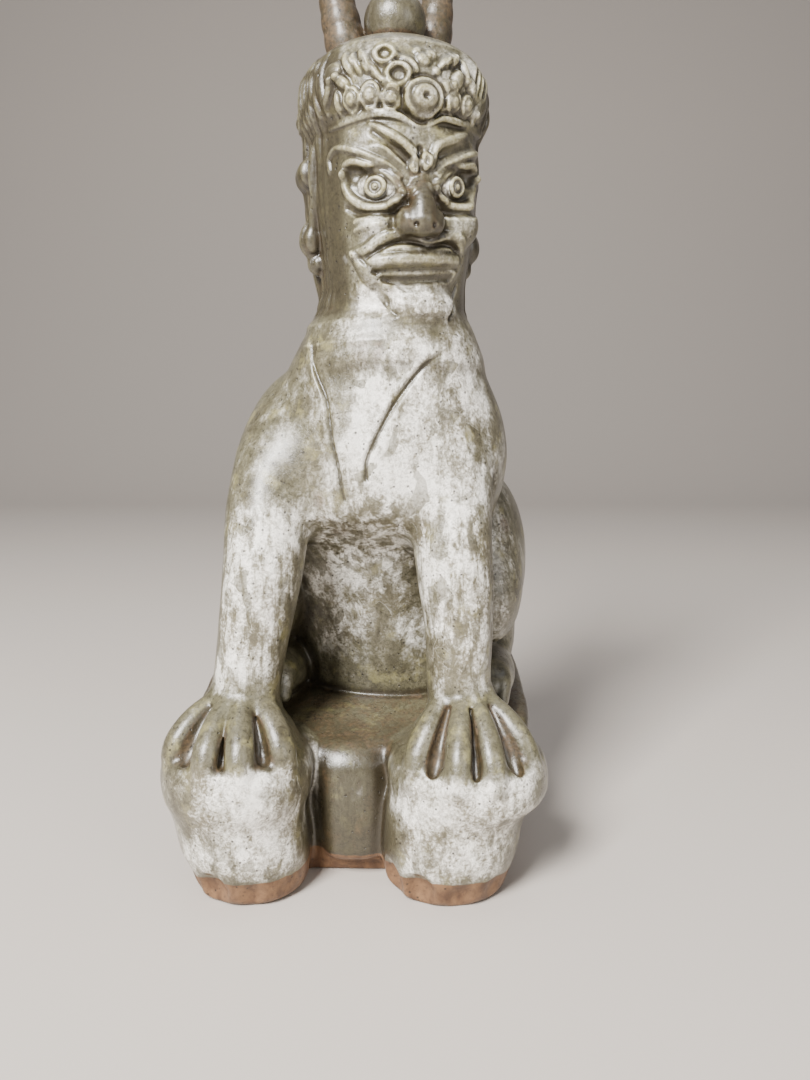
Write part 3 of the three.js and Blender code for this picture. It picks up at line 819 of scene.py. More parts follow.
def model_crown():
    add(loft(HEAD, CAP_RINGS, 2.0, 1.5), 0.6)
    band = [
        (-62, 54.2, 0.5),
        (-45, 54.7, 0.9),
        (-31, 55.5, 1.0),
        (-22, 55.8, 1.1),
        (-15, 55.2, 1.1),
        (-9, 54.4, 1.1),
        (-1, 53.1, 1.1),
        (5, 53.3, 1.1),
        (10, 54.6, 1.1),
        (16, 55.5, 1.1),
        (30, 55.5, 1.0),
        (60, 56, 0.8),
    ]
    add(chain(HEAD, [(*on_cap(angle, z, 0.1), r) for angle, z, r in band], 60), 0.4)
    groove = [(-48, 56.4, 0.8, -0.6), (-22, 57.6, 0.8, -0.8), (0, 55, 0.8, -0.8)]
    groove += [(20, 57.2, 0.8, -0.8), (48, 57.4, 0.8, -0.6)]
    bead(groove, 20)
    # the front roundel and the two hollow rings above it
    ring(*ROUNDEL, 5.7, 0.9, -0.7)
    dome(*ROUNDEL, 5.2, 5.2, 2.1, power=0.22)
    ring(*ROUNDEL, 3.5, 0.75, -0.6)
    dome(*ROUNDEL, 3.0, 3.0, 0.6, power=0.4)
    dome(*ROUNDEL, 1.0, 1.0, -1.1)
    hollow_ring(-11.9, 64.8, 2.6, 0.85)
    hollow_ring(-18.9, 70.3, 2.25, 0.75)
    curl(-15.4, 58.9, 2.6, 3.1, 1.8)
    curl(-26.6, 59.9, 2.7, 3.7, 1.9, -12)
    curl(-37.2, 59.4, 2.6, 3.4, 1.8)
    dome(-46.4, 59.2, 1.3, 3.4, 1.3, 6)
    curl(20, 59.6, 2.2, 3.1, 1.5, -18)
    curl(30, 59.8, 2.4, 3.0, 2.0)
    curl(41, 58.8, 1.9, 2.4, 1.6)
    knobs = [(1.6, 69.2, 1.9, 1.3), (6.2, 70.8, 1.5, 1.1), (8.6, 66.6, 1.0, 1.2)]
    knobs += [(15.5, 63.4, 1.8, 0.8), (-1.5, 71.6, 1.2, 0.7)]
    for degrees, z, radius, height in knobs:
        dome(degrees, z, radius, radius, height, power=0.5)
    # strands that sweep round the rings
    under_rings = [(-29, 71, 0.9, 0.7), (-24, 65.8, 1.0, 1.3), (-19, 62.8, 1.0, 1.3)]
    under_rings += [(-14, 61.2, 0.9, 1.1), (-8.6, 61.2, 0.8, 0.7)]
    bead(under_rings, 18)
    bead([(-13.6, 69.6, 0.8, 0.7), (-7, 68.7, 1.0, 1.1), (-3.4, 67, 0.9, 1.0), (-2.8, 65.4, 0.7, 0.6)], 12)
    # leaves of hair on the beast's right, and strokes on its left
    leaves = (
        (-39.6, 69, 1.5, 3.6, 24),
        (-34.5, 68.6, 1.0, 3.6, 26),
        (-30.0, 69, 1.2, 3.8, 22),
        (-49.5, 67.4, 3.2, 3.0, 30),
        (-43, 64.4, 1.6, 3.0, 50),
        (-53, 62.6, 1.2, 3.8, -24),
        (13.4, 69.6, 0.9, 2.6, -36),
        (17.4, 70.4, 0.9, 2.8, -36),
        (21.6, 71, 0.9, 2.6, -34),
        (21.5, 65.4, 1.8, 3.2, -20),
        (28, 68.4, 1.1, 3.6, 8),
        (33, 64.8, 1.4, 2.8, 20),
    )
    for degrees, z, across, tall, lean in leaves:
        dome(degrees, z, across, tall, 1.7, lean, 0.4)
    # the big swirl of hair over the left temple
    add(ellipsoid(HEAD, on_cap(47, 67.4, -3.6), (6.8, 5.8, 7.0), 47), 2.5)
    add(ellipsoid(HEAD, on_cap(50, 62.6, -2.0), (4.0, 3.6, 4.0), 50), 1.0)
    for shift in (-4, 0, 4):
        swirl = [(40 + shift, 64, 0.8, -0.7), (43 + shift, 69, 0.9, -1.0), (50 + shift, 74, 0.8, -0.7)]
        bead(swirl, 10)
    # rows of curls round the back
    spots = np.random.default_rng(SEED)
    for row, (z, radius) in enumerate(((60.4, 2.9), (67.0, 2.7), (73.0, 2.2))):
        for side in (-1, 1):
            for i in range(5):
                angle = side * (104 + 7 * (row % 2) + i * 15.4 + spots.uniform(-3, 3))
                size = radius * spots.uniform(0.75, 1.12)
                lift = spots.uniform(-1, 1)
                tall = size * spots.uniform(1.0, 1.3)
                height = spots.uniform(1.0, 1.7)
                curl(angle, z + lift, size, tall, height, spots.uniform(-25, 25))
    rim = [(-60, 75, 1.6, 0.4), (-30, 76, 2.0, 0.6), (0, 75.6, 2.0, 0.6)]
    rim += [(30, 76.4, 2.0, 0.7), (60, 76, 1.6, 0.4)]
    bead(rim, 20)


# ---- horns and ball ----
HORN_RINGS = 9
HORN_LENGTH = 50.0
BALL = (0, -4, 88.0)
BALL_RADIUS = 9.0


def horn_rows(side, grow=0.0):
    rows = []
    for t in np.linspace(0, 1, 64):
        radius = 6.4 * (1 - 0.74 * t**1.6) + 1.6 * max(0, 1 - t / 0.08) ** 2
        ripple = 0.22 * (1 - t) * math.cos(t * HORN_RINGS * 2 * math.pi)
        x = side * (10.5 + 6 * math.sin(0.7 * math.pi * t))
        rows.append((x, 3 + 8 * t * t, 73 + HORN_LENGTH * t, radius + ripple + grow))
    return rows


def model_horns():
    for side in (-1, 1):
        add(chain(HEAD, horn_rows(side)), 1.2)
    add(ellipsoid(HEAD, (0, -4, 80), (5, 5, 3)), 1.0)
    add(ellipsoid(HEAD, BALL, (BALL_RADIUS, BALL_RADIUS, BALL_RADIUS * 0.96)), 0.4)


def model_all():
    model_base()
    model_body()
    add(loft(HEAD, SKULL_RINGS, 2.05, 2.0), 7.0)
    model_ears_and_hair()
    model_brows()
    model_cheeks()
    model_mouth()
    model_nose()
    model_eyes()
    model_crown()
    model_strands()
    model_horns()
    model_hollows()


# ---- the pieces: regions of the clay, the first that holds a point having it ----
def above_plinth(lift):
    def field(x, y, z, reach):
        return (PLINTH_HEIGHT + lift + PLINTH_RISE * np.maximum(y - PLINTH_FRONT, 0) - z) + 0 * x

    return Shape(field, (-90, -90, 40), (90, 90, 400))


def both(first, second):
    def field(x, y, z, reach):
        return np.maximum(first.field(x, y, z, reach), second.field(x, y, z, reach))

    return Shape(field, np.maximum(first.low, second.low), np.minimum(first.high, second.high))


BAND_LEVEL = 52.6  # where the crown piece begins, above the neck joint
WRIST_LEVEL = 59.5
LOBE_LEVEL = 43.5
ABOVE_BASE = 0.8  # the body's pieces begin this far above the plinth's top


def side_block(place, side, across, along, levels):
    """A block on one side of the middle; across gives its nearer and farther x."""
    x = sorted((side * across[0], side * across[1]))
    return block(place, (x[0], along[0], levels[0]), (x[1], along[1], levels[1]))


def regions():
    upper = block(HEAD, (-60, -60, 78.4), (60, 60, 140))
    body = above_plinth(ABOVE_BASE)
    out = [(f"horn_{name}", both(chain(HEAD, horn_rows(side, 1.4)), upper)) for name, side in SIDES]
    out.append(("crown_ball", ellipsoid(HEAD, BALL, (BALL_RADIUS + 0.9,) * 3)))
    out.append(("front_roundel", ellipsoid(HEAD, on_cap(*ROUNDEL, 1.0), (5.9, 3.4, 5.7))))
    out.append(("crown_hair", block(HEAD, (-60, -60, BAND_LEVEL), (60, 60, 100))))
    for name, side in SIDES:
        out.append((f"ear_{name}", side_block(HEAD, side, (21.5, 34), (-8, 9), (17, BAND_LEVEL))))
        out.append((f"eyeball_{name}", eyeball(side, 0.35)))
    out.append(("nose", block(HEAD, (-7.4, -50, 22.8), (7.4, -28.4, 40.5))))
    out.append(("face", block(HEAD, (-60, -60, 0.5), (60, 4.5, BAND_LEVEL))))
    out.append(("hair_back", block(HEAD, (-60, 4.5, 0.5), (60, 60, BAND_LEVEL))))
    for name, side in SIDES:
        rings = [(z, side * LOBE_X, LOBE_Y, 24.6, 23.8) for z in (-8, 30, WRIST_LEVEL + 3)]
        disc = loft(WORLD, rings, 2.3, 0.5)
        paw = block(WORLD, (-90, -70, LOBE_LEVEL), (90, -20.5, WRIST_LEVEL))
        out.append((f"forepaw_{name}", both(disc, paw)))
        lobe = block(WORLD, (-90, -70, -5), (90, -30, LOBE_LEVEL))
        out.append((f"paw_lobe_{name}", both(disc, lobe)))
        leg = chain(WORLD, [(x, y, z, r + 4.5) for x, y, z, r in foreleg_rows(side)[2:]], 12)
        out.append((f"foreleg_{name}", both(leg, block(WORLD, (-90, -70, 50), (90, -17.5, 121)))))
        out.append((f"haunch_{name}", both(haunch_shape(side, 1.2), body)))
        foot = side_block(BODY, side, (16.5, 60), (-30, 40), (40, 75))
        out.append((f"hind_foot_{name}", both(foot, body)))
    out.append(("tail", both(chain(BODY, tail_rows(1.3), 16), body)))
    out.append(("torso", body))
    out.append(("plinth", block(WORLD, (-90, -90, -10), (90, 90, 90))))
    return out


# ---- from clay to surfaces ----
DIVE = 0.45  # how steeply a piece sinks under its neighbours, past its own region
UNDER = 2.5  # how far it goes on under them
SMALLEST = 400  # faces in the smallest scrap that is kept
RIDGE_REACH = 0.9  # how far round a point its ridge is measured
SHELTER_REACHES = (1.2, 3.0, 6.0)
GLAZE_SPREAD = 0.28  # how far the glaze rounds things over
LUMPS = (((26.0, 26.0, 30.0), 1.1), ((9.0, 9.0, 11.0), 0.42), ((3.2, 3.2, 4.0), 0.16))  # spacing, height


def cropped(g, margin=2):
    """The part of g near where it is inside, as slices."""
    inside = g < 1
    spans = []
    for axis in range(3):
        hit = np.flatnonzero(inside.any(axis=tuple(a for a in range(3) if a != axis)))
        if not len(hit):
            return None
        spans.append(slice(max(hit[0] - margin, 0), hit[-1] + margin + 1))
    return tuple(spans)


def closed(field):
    """The field with its outermost cells outside the clay, so that every surface closes."""
    for axis in range(3):
        edge = np.moveaxis(field, axis, 0)
        edge[0] = np.maximum(edge[0], 1)
        edge[-1] = np.maximum(edge[-1], 1)
    return field


def largest_parts(points, quads):
    """Drops scraps: connected parts with few faces."""
    label = np.arange(len(points))
    while True:
        best = label[quads].min(axis=1)
        before = label.copy()
        for corner in range(4):
            np.minimum.at(label, quads[:, corner], best)
        label = label[label]
        if np.array_equal(before, label):
            break
    owner = label[quads[:, 0]]
    names, counts = np.unique(owner, return_counts=True)
    quads = quads[np.isin(owner, names[counts >= SMALLEST])]
    used, renamed = np.unique(quads, return_inverse=True)
    return points[used], renamed.reshape(-1, 4)


def surface(clay, g, spans):
    spans_in = cropped(g)
    if spans_in is None:
        return None
    g = closed(np.ascontiguousarray(g[spans_in]))
    low = np.array([axis[span][inner][0] for axis, span, inner in zip(clay.axes, spans, spans_in)], float)
    grid = openvdb.FloatGrid(FAR)
    grid.copyFromArray(np.clip(g, -6, 6))
    points, quads = grid.convertToQuads(0.0)
    local = Field(low, clay.voxel, g)
    points = low + points.astype(float) * clay.voxel
    for _ in range(2):
        slope, normal = local.gradient(points)
        steep = np.maximum(np.linalg.norm(slope, axis=1), 0.4)
        step = np.clip(local.sample(points) / steep, -0.5 * clay.voxel, 0.5 * clay.voxel)
        points -= normal * step[:, None]
    return largest_parts(points, quads.astype(np.int64))


def measure(clay, points):
    """Normals of the clay, how sharply it is ridged, and how far it is sheltered by what is round it."""
    normals = clay.gradient(points)[1]
    offsets = np.vstack([np.eye(3), -np.eye(3)]) * RIDGE_REACH
    around = [clay.sample(points + offset) for offset in offsets]
    ridge = np.mean(np.clip(around, -RIDGE_REACH, RIDGE_REACH), axis=0) / RIDGE_REACH
    shelter = np.zeros(len(points))
    for reach in SHELTER_REACHES:
        shelter += np.clip((reach - clay.sample(points + normals * reach)) / reach, 0, 1)
    return normals, ridge, shelter / len(SHELTER_REACHES)


def split(clay, names):
    """The surfaces of the named pieces: name, points, quads and what is measured on them."""
    taken = np.full(clay.field.shape, FAR, np.float32)
    out = []
    for name, shape in regions():
        spans = clay.spans(shape, REACH)
        if spans is None:
            continue
        held = shape.field(*clay.grid(spans), REACH)
        part = np.maximum(held, -taken[spans])
        taken[spans] = np.minimum(taken[spans], held)
        if name not in names:
            continue
        g = np.maximum(clay.field[spans] + DIVE * np.maximum(part, 0), part - UNDER).astype(np.float32)
        made = surface(clay, g, spans)
        if made is not None:
            out.append((name, *made, *measure(clay, made[0])))
    return out


def model_clay(job):
    low, high, voxel, names = job
    clay = Clay(low, high, voxel * COARSE)
    clay.work(STEPS)
    soften(clay, GLAZE_SPREAD)
    for extra, (spacing, height) in enumerate(LUMPS):
        unevenness(clay, np.array(spacing), height, SEED + extra)
    clay.field = np.maximum(clay.field, -clay.grid()[2])  # cut flat where it stands
    return split(clay, names)


# The clay is worked in four jobs: lowest corner, highest corner, voxel, and the pieces each one makes.
LEG_NAMES = {"foreleg_left", "foreleg_right"}
BASE_NAMES = {"plinth", "paw_lobe_left", "paw_lobe_right", "forepaw_left", "forepaw_right"}
HAUNCH_NAMES = {"haunch_left", "haunch_right", "hind_foot_left", "hind_foot_right", "tail"}
FACE_NAMES = {"face", "hair_back", "nose", "eyeball_left", "eyeball_right", "ear_left", "ear_right"}
TOP_NAMES = {"horn_left", "horn_right", "crown_ball"}
JOBS = [
    ((-64, -64, -3), (64, 66, 66), 0.5, BASE_NAMES),
    ((-50, -66, 38), (60, 66, 182), 0.6, {"torso"} | HAUNCH_NAMES | LEG_NAMES),
    ((-26, -58, 163), (50, 28, 236), 0.36, FACE_NAMES),
    ((-26, -58, 216), (50, 28, 297), 0.36, {"crown_hair", "front_roundel"} | TOP_NAMES),
]


# ---- where the glaze is thin, worn, stained or missing, and where light and shade are painted on ----
FILM_BY_HEIGHT = [(0, 0.1), (9, 0.3), (12, 0.5), (31, 0.7), (44, 0.72), (50, -0.1), (60, 0.0), (72, 0.46)]
FILM_BY_HEIGHT += [(108, 0.5), (118, 0.34), (135, 0.26), (165, 0.22), (176, 0.2), (190, 0.06), (205, 0.06)]
FILM_BY_HEIGHT += [(235, 0.1), (250, 0.05), (300, -0.1)]
# rusty spots: centre, radius, strength
SPOTS = [((6, -39, 163), 5, 0.6), ((-9.6, -36, 120), 3, 0.55), ((48.8, -7.5, 108.8), 3, 0.55)]
SPOTS += [((-4, -31, 108), 4, 0.5)]


def ramp(value, start, end):
    t = np.clip((value - start) / (end - start), 0, 1)
    return t * t * (3 - 2 * t)


def band(value, start, full, fading, end):
    """Up from start to full, and down again from fading to end."""
    return ramp(value, start, full) * ramp(value, end, fading)


def masks(name, points, normals, shelter):
    """How much film, stain, bare clay, dark glaze, cream glaze and long runs there is at each point; in
    places the film holds painted light and shade, and the dark glaze painted shade.
    """
    x, y, z = points.T
    hx, hy, hz = HEAD.local(x, y, z)
    on_head = ramp(hz, 0, 6)
    turn = np.abs(np.degrees(np.arctan2(hx, -hy)))
    drop = TOE_DROP[-1] + (TOE_DROP[1] - TOE_DROP[-1]) * ramp(x, -6, 6)
    level = z + drop * band(z, 24, 32, 52, 66)  # heights on the paws, counted from where the toes end
    on_paws = ramp(-y, 14, 22)
    between_legs = ramp(np.abs(x - 1), 20, 14) * ramp(y, -31, -24) * ramp(z, 118, 110) * (z > 46)
    on_haunch = ramp(y, -24, -12) * (z > 46) * (1 - on_head)
    from_lobe = np.hypot(np.abs(x) - LOBE_X, y - LOBE_Y)
    plinth_top = PLINTH_HEIGHT + PLINTH_RISE * (y - PLINTH_FRONT)
    plinth = ramp(from_lobe, 23.5, 26) * ramp(plinth_top + 5 - z, 0, 4)
    flat = ramp(normals[:, 2], 0.3, 0.9)
    in_front = ramp(-y, 12, 22)

    # Painted light and shade: the film is raised on faces turned to the front and lowered on faces turned
    # aside, so fronts come out paler and the edges towards the silhouettes darker.
    film_and_painted_light = np.interp(level, *zip(*FILM_BY_HEIGHT)) + 0.42 * ramp(-normals[:, 1], 0.1, 0.85) - 0.26
    film_and_painted_light -= 0.5 * ramp(-x, 38, 50) * band(z, 14, 24, 42, 46)
    film_and_painted_light -= 0.3 * ramp(x, 36, 48) * band(z, 8, 14, 30, 40)
    film_and_painted_light += 0.5 * (ramp(x, -16, 14) - 0.5) * band(z, 112, 126, 162, 174)
    film_and_painted_light += 0.04 * between_legs
    # Painted highlight: the film is made whiter on the front of the chin, where the light falls on it.
    film_and_painted_light += 0.5 * on_head * ramp(hz, 14, 8) * ramp(turn, 50, 30)
    film_and_painted_light -= 0.14 * on_haunch
    film_and_painted_light -= plinth * (0.3 + 0.35 * in_front)

    nose = ramp(-hy, 28.4, 31) * ramp(np.abs(hx), 7.5, 5.5) * band(hz, 22, 25, 38, 41)
    dark = np.maximum(on_head * ramp(turn, 32, 60), 0.95 * nose)
    # Partly the belly's own olive, partly painted shade: the glaze between the forelegs, under the chest, is
    # made a little darker.
    dark = np.maximum(dark, 0.15 * between_legs)
    # Painted shade: on the body above the paws the glaze darkens on faces turned aside or back, towards the
    # silhouettes.
    dark = np.maximum(dark, 0.3 * ramp(normals[:, 1], -0.5, 0.1) * (1 - on_head) * ramp(z, 60, 70))
    dark = np.maximum(dark, plinth * (0.62 + 0.28 * in_front - 0.2 * flat))
    dark = np.maximum(dark, 0.38 * ramp(level, 45, 49) * ramp(z, 64, 58) * on_paws)
    step_front = ramp(np.abs(x + 2), 10, 4) * ramp(-y, 30, 34) * band(z, 14, 30, 46, 50)
    dark *= 1 - 0.25 * step_front

    stain = 0.56 * ramp(shelter, 0.1, 0.42) * ramp(-y, 20, 30) * ramp(level, 41, 46) * ramp(z, 66, 60)
    for centre, radius, strength in SPOTS:
        away = np.linalg.norm(points - centre, axis=1)
        stain = np.maximum(stain, strength * ramp(away, 1.8 * radius, 0.4 * radius))
    stain = np.maximum(stain, plinth * (0.26 + 0.24 * flat))
    stain = np.maximum(stain, 0.24 * on_head * ramp(turn, 46, 66))
    on_top = band(hz, 71, 77, 82, 90)
    stain = np.maximum(stain, on_top * (0.35 + 0.6 * ramp(shelter, 0.05, 0.4)))

    bare = np.zeros(len(points))
    if name == "nose":
        stain = np.maximum(stain, 0.4)
    if name.startswith("horn"):
        stain = np.maximum(stain, 0.64)
        dark = np.maximum(dark, 1.0)
    if name == "crown_ball":
        dark = np.maximum(dark, 0.6)
    if name.startswith("eyeball"):
        film_and_painted_light += 0.75
        dark *= 0.3
    if name in BASE_NAMES:
        bare = np.maximum(ramp(z, 10.5, 7.5), ramp(-normals[:, 2], 0.6, 0.9) * (z < 50))
        film_and_painted_light *= 1 - bare

    cream = 0.15 + 0.85 * np.maximum(ramp(hz, 0, 20), ramp(np.abs(z - 167), 6, 3))
    cream = np.maximum(cream, 0.6 * ramp(level, 46, 50) * ramp(z, 66, 60) * on_paws)
    cream *= 1 - 0.8 * on_head * dark
    streak = band(z, 58, 66, 108, 124) * ramp(-y, 14, 20)
    return {"film_and_painted_light": film_and_painted_light, "stain": stain, "bare": bare, "dark": dark, "cream": cream, "streak": streak}


# ---- glaze and clay ----
FLAKE_EDGE = 0.585  # where in the flake pattern the film stops


def linear(red, green, blue):
    values = [c / 255 for c in (red, green, blue)]
    return tuple(c / 12.92 if c <= 0.04045 else ((c + 0.055) / 1.055) ** 2.4 for c in values) + (1.0,)


class Glaze:
    """One material: sums on its nodes' sockets, its mottling patterns, and the masks on the mesh."""

    def __init__(self, name):
        self.material = bpy.data.materials.new(name)
        self.material.use_nodes = True
        self.tree = self.material.node_tree
        self.shader = self.tree.nodes["Principled BSDF"]
        coordinates = self.tree.nodes.new("ShaderNodeTexCoord")
        self.millimetres = self.math("MULTIPLY", coordinates.outputs["Object"], 1 / MM, vector=True)
        self.broad = self.noise(20, 3, 0.55, shift=5.0)
        self.coarse = self.noise(8, 4, 0.6, stretch=(1, 1, 2), distortion=0.5)
        self.middle = self.noise(3.6, 5, 0.62, stretch=(1, 1, 1.7), distortion=0.4, shift=31.0)
        self.fine = self.noise(1.1, 4, 0.65, shift=57.0)
        self.grain = self.noise(0.45, 3, 0.6, shift=11.0)
        self.brushed = self.noise(1.7, 5, 0.68, distortion=1.5, shift=67.0)
        self.runs = self.noise(3.2, 5, 0.62, stretch=(1, 1, 5), distortion=0.5, shift=83.0)
        self.strokes = self.noise(1.2, 5, 0.66, stretch=(1, 1, 6), distortion=0.8, shift=19.0)
        self.flakes = self.noise(8, 3, 0.5, stretch=(1, 1, 1.6), distortion=0.6, shift=41.0)
        self.ridge = self.mask("ridge")
        self.shelter = self.mask("shelter")
        self.film_and_painted_light = self.mask("film_and_painted_light")
        self.stain = self.mask("stain")
        self.bare = self.mask("bare")
        self.dark = self.mask("dark")
        self.cream = self.mask("cream")
        self.streak = self.mask("streak")

    def join(self, socket, value):
        if isinstance(value, bpy.types.NodeSocket):
            self.tree.links.new(value, socket)
        else:
            socket.default_value = value

    def math(self, operation, a, b=None, vector=False, clamp=False):
        node = self.tree.nodes.new("ShaderNodeVectorMath" if vector else "ShaderNodeMath")
        node.operation = operation
        self.join(node.inputs[0], a)
        if b is not None:
            plain = vector and not isinstance(b, (tuple, bpy.types.NodeSocket))
            self.join(node.inputs[1], (b,) * 3 if plain else b)
        if clamp:
            node.use_clamp = True
        return node.outputs[0]

    def total(self, *values):
        out = values[0]
        for value in values[1:]:
            out = self.math("ADD", out, value)
        return out

    def times(self, *values):
        out = values[0]
        for value in values[1:]:
            out = self.math("MULTIPLY", out, value)
        return out

    def less(self, a, b):
        return self.math("SUBTRACT", a, b)

    def most(self, a, b):
        return self.math("MAXIMUM", a, b)

    def centred(self, pattern, strength):
        """A pattern as a push up or down of up to half the strength."""
        return self.times(self.less(pattern, 0.5), strength)

    def mask(self, name):
        node = self.tree.nodes.new("ShaderNodeAttribute")
        node.attribute_name = name
        return node.outputs["Fac"]

    def noise(self, size, detail, rough, stretch=(1, 1, 1), distortion=0.0, shift=0.0):
        """A cloudy pattern with lumps of about size millimetres, drawn out by stretch."""
        where = self.math("MULTIPLY", self.millimetres, tuple(1 / s for s in stretch), vector=True)
        if shift:
            where = self.math("ADD", where, shift, vector=True)
        node = self.tree.nodes.new("ShaderNodeTexNoise")
        self.join(node.inputs["Vector"], where)
        node.inputs["Scale"].default_value = 1 / size
        node.inputs["Detail"].default_value = detail
        node.inputs["Roughness"].default_value = rough
        node.inputs["Distortion"].default_value = distortion
        return node.outputs["Fac"]

    def steps(self, value, low, high):
        """A smooth step from 0 at low to 1 at high."""
        node = self.tree.nodes.new("ShaderNodeMapRange")
        node.interpolation_type = "SMOOTHSTEP"
        self.join(node.inputs["Value"], value)
        node.inputs["From Min"].default_value = low
        node.inputs["From Max"].default_value = high
        return node.outputs["Result"]

    def between(self, share, first, second):
        """A number that goes from first to second with share."""
        node = self.tree.nodes.new("ShaderNodeMapRange")
        self.join(node.inputs["Value"], share)
        node.inputs["To Min"].default_value = first
        node.inputs["To Max"].default_value = second
        return node.outputs["Result"]

    def blend(self, share, first, second):
        """A colour that goes from first to second with share."""
        node = self.tree.nodes.new("ShaderNodeMix")
        node.data_type = "RGBA"
        self.join(node.inputs["Factor"], share)
        self.join(node.inputs["A"], first)
        self.join(node.inputs["B"], second)
        return node.outputs["Result"]


def glaze_colour(g):
    """From pale olive to thick brown-green, dark in the hollows and cream on the ridges; the dark mask that
    picks the thick glaze holds painted shade in places.
    """
    olive = g.blend(g.steps(g.middle, 0.3, 0.7), linear(68, 63, 47), linear(112, 107, 87))
    olive = g.blend(g.steps(g.broad, 0.38, 0.66), olive, linear(98, 94, 73))
    olive = g.blend(g.times(g.steps(g.brushed, 0.48, 0.66), 0.6), olive, linear(50, 45, 32))
    yellow = g.times(g.steps(g.noise(7, 4, 0.6, shift=97.0), 0.54, 0.68), 0.5)
    olive = g.blend(yellow, olive, linear(152, 145, 100))
    depth = g.total(g.dark, g.centred(g.middle, 0.9), g.centred(g.strokes, 0.7))
    thick = g.blend(g.steps(g.brushed, 0.35, 0.65), linear(38, 33, 23), linear(70, 64, 48))
    colour = g.blend(g.times(g.steps(depth, 0.3, 0.85), 0.88), olive, thick)
    low = g.most(g.steps(g.ridge, -0.04, -0.24), g.steps(g.shelter, 0.12, 0.46))
    colour = g.blend(g.times(low, 0.78), colour, linear(42, 35, 23))
    worn = g.between(g.steps(g.middle, 0.3, 0.7), 0.5, 1.0)
    high = g.times(g.steps(g.ridge, 0.03, 0.2), g.cream, worn)
    creamy = g.blend(g.steps(g.fine, 0.35, 0.65), linear(162, 154, 112), linear(208, 203, 174))
    return g.blend(high, colour, creamy)


def film_cover(g):
    """How thick the whitish film is, with painted light and shade in it: broken up by runs and flakes,
    rubbed out of the hollows.
    """
    patches = g.total(g.centred(g.coarse, 1.4), g.centred(g.middle, 0.85))
    patches = g.times(patches, g.between(g.streak, 1.0, 0.45))
    runs = g.centred(g.runs, g.between(g.streak, 0.4, 2.2))
    cover = g.total(g.film_and_painted_light, g.centred(g.broad, 1.0), patches, runs)
    cover = g.less(cover, g.times(g.steps(g.ridge, -0.03, -0.16), 0.6))
    cover = g.less(cover, g.times(g.shelter, 0.9))
    cover = g.less(cover, g.times(g.dark, 0.6))
    haze = g.times(g.steps(cover, -0.15, 0.55), 0.5)
    solid = g.times(g.steps(cover, 0.36, 0.58), g.between(g.steps(g.film_and_painted_light, 0.2, 0.7), 0.66, 0.95))
    gone = g.steps(g.flakes, FLAKE_EDGE - 0.01, FLAKE_EDGE + 0.01)
    flaked = g.times(gone, g.between(g.steps(g.film_and_painted_light, 0.6, 0.9), 0.7, 0.1))
    return g.math("MULTIPLY", g.most(haze, solid), g.less(1.0, flaked), clamp=True)


def film_colour(g):
    """From greyish to nearly white, in long runs where the streak mask asks for them."""
    tones = g.total(g.fine, g.centred(g.runs, g.between(g.streak, 0.7, 1.5)))
    for pattern, strength in ((g.strokes, 0.35), (g.brushed, -1.1), (g.middle, 0.8), (g.broad, 1.6)):
        tones = g.total(tones, g.centred(pattern, strength))
    tones = g.total(tones, g.centred(g.coarse, 0.6), g.centred(g.film_and_painted_light, 0.42))
    return g.blend(g.steps(tones, 0.22, 0.98), linear(120, 113, 93), linear(252, 249, 241))


def flake_lines(g):
    """Pale lines where flakes of the film end."""
    away = g.math("ABSOLUTE", g.less(g.flakes, FLAKE_EDGE))
    line = g.times(g.steps(away, 0.009, 0.003), g.steps(g.coarse, 0.42, 0.6), 0.45)
    return g.times(line, g.steps(g.film_and_painted_light, 0.3, 0.6), g.steps(g.dark, 0.35, 0.2))


def rust_cover(g):
    spread = g.total(g.stain, g.centred(g.middle, 1.3), g.centred(g.coarse, 0.7))
    return g.times(g.steps(spread, 0.28, 0.8), g.steps(g.stain, 0.0, 0.25))


def bare_cover(g):
    edge = g.total(g.bare, g.centred(g.middle, 0.8))
    return g.times(g.steps(edge, 0.45, 0.6), g.steps(g.bare, 0.0, 0.1))


def clay_colour(g):
    clay = g.blend(g.steps(g.middle, 0.3, 0.7), linear(82, 55, 34), linear(126, 93, 62))
    return g.blend(g.times(g.steps(g.fine, 0.55, 0.72), 0.6), clay, linear(58, 40, 27))


def pinholes(g):
    dots = g.tree.nodes.new("ShaderNodeTexVoronoi")
    g.join(dots.inputs["Vector"], g.millimetres)
    dots.inputs["Scale"].default_value = 0.45
    dots.inputs["Randomness"].default_value = 1.0
    near = g.steps(dots.outputs["Distance"], 0.19, 0.12)
    return g.times(near, g.steps(g.noise(3, 2, 0.5, shift=71.0), 0.48, 0.54))


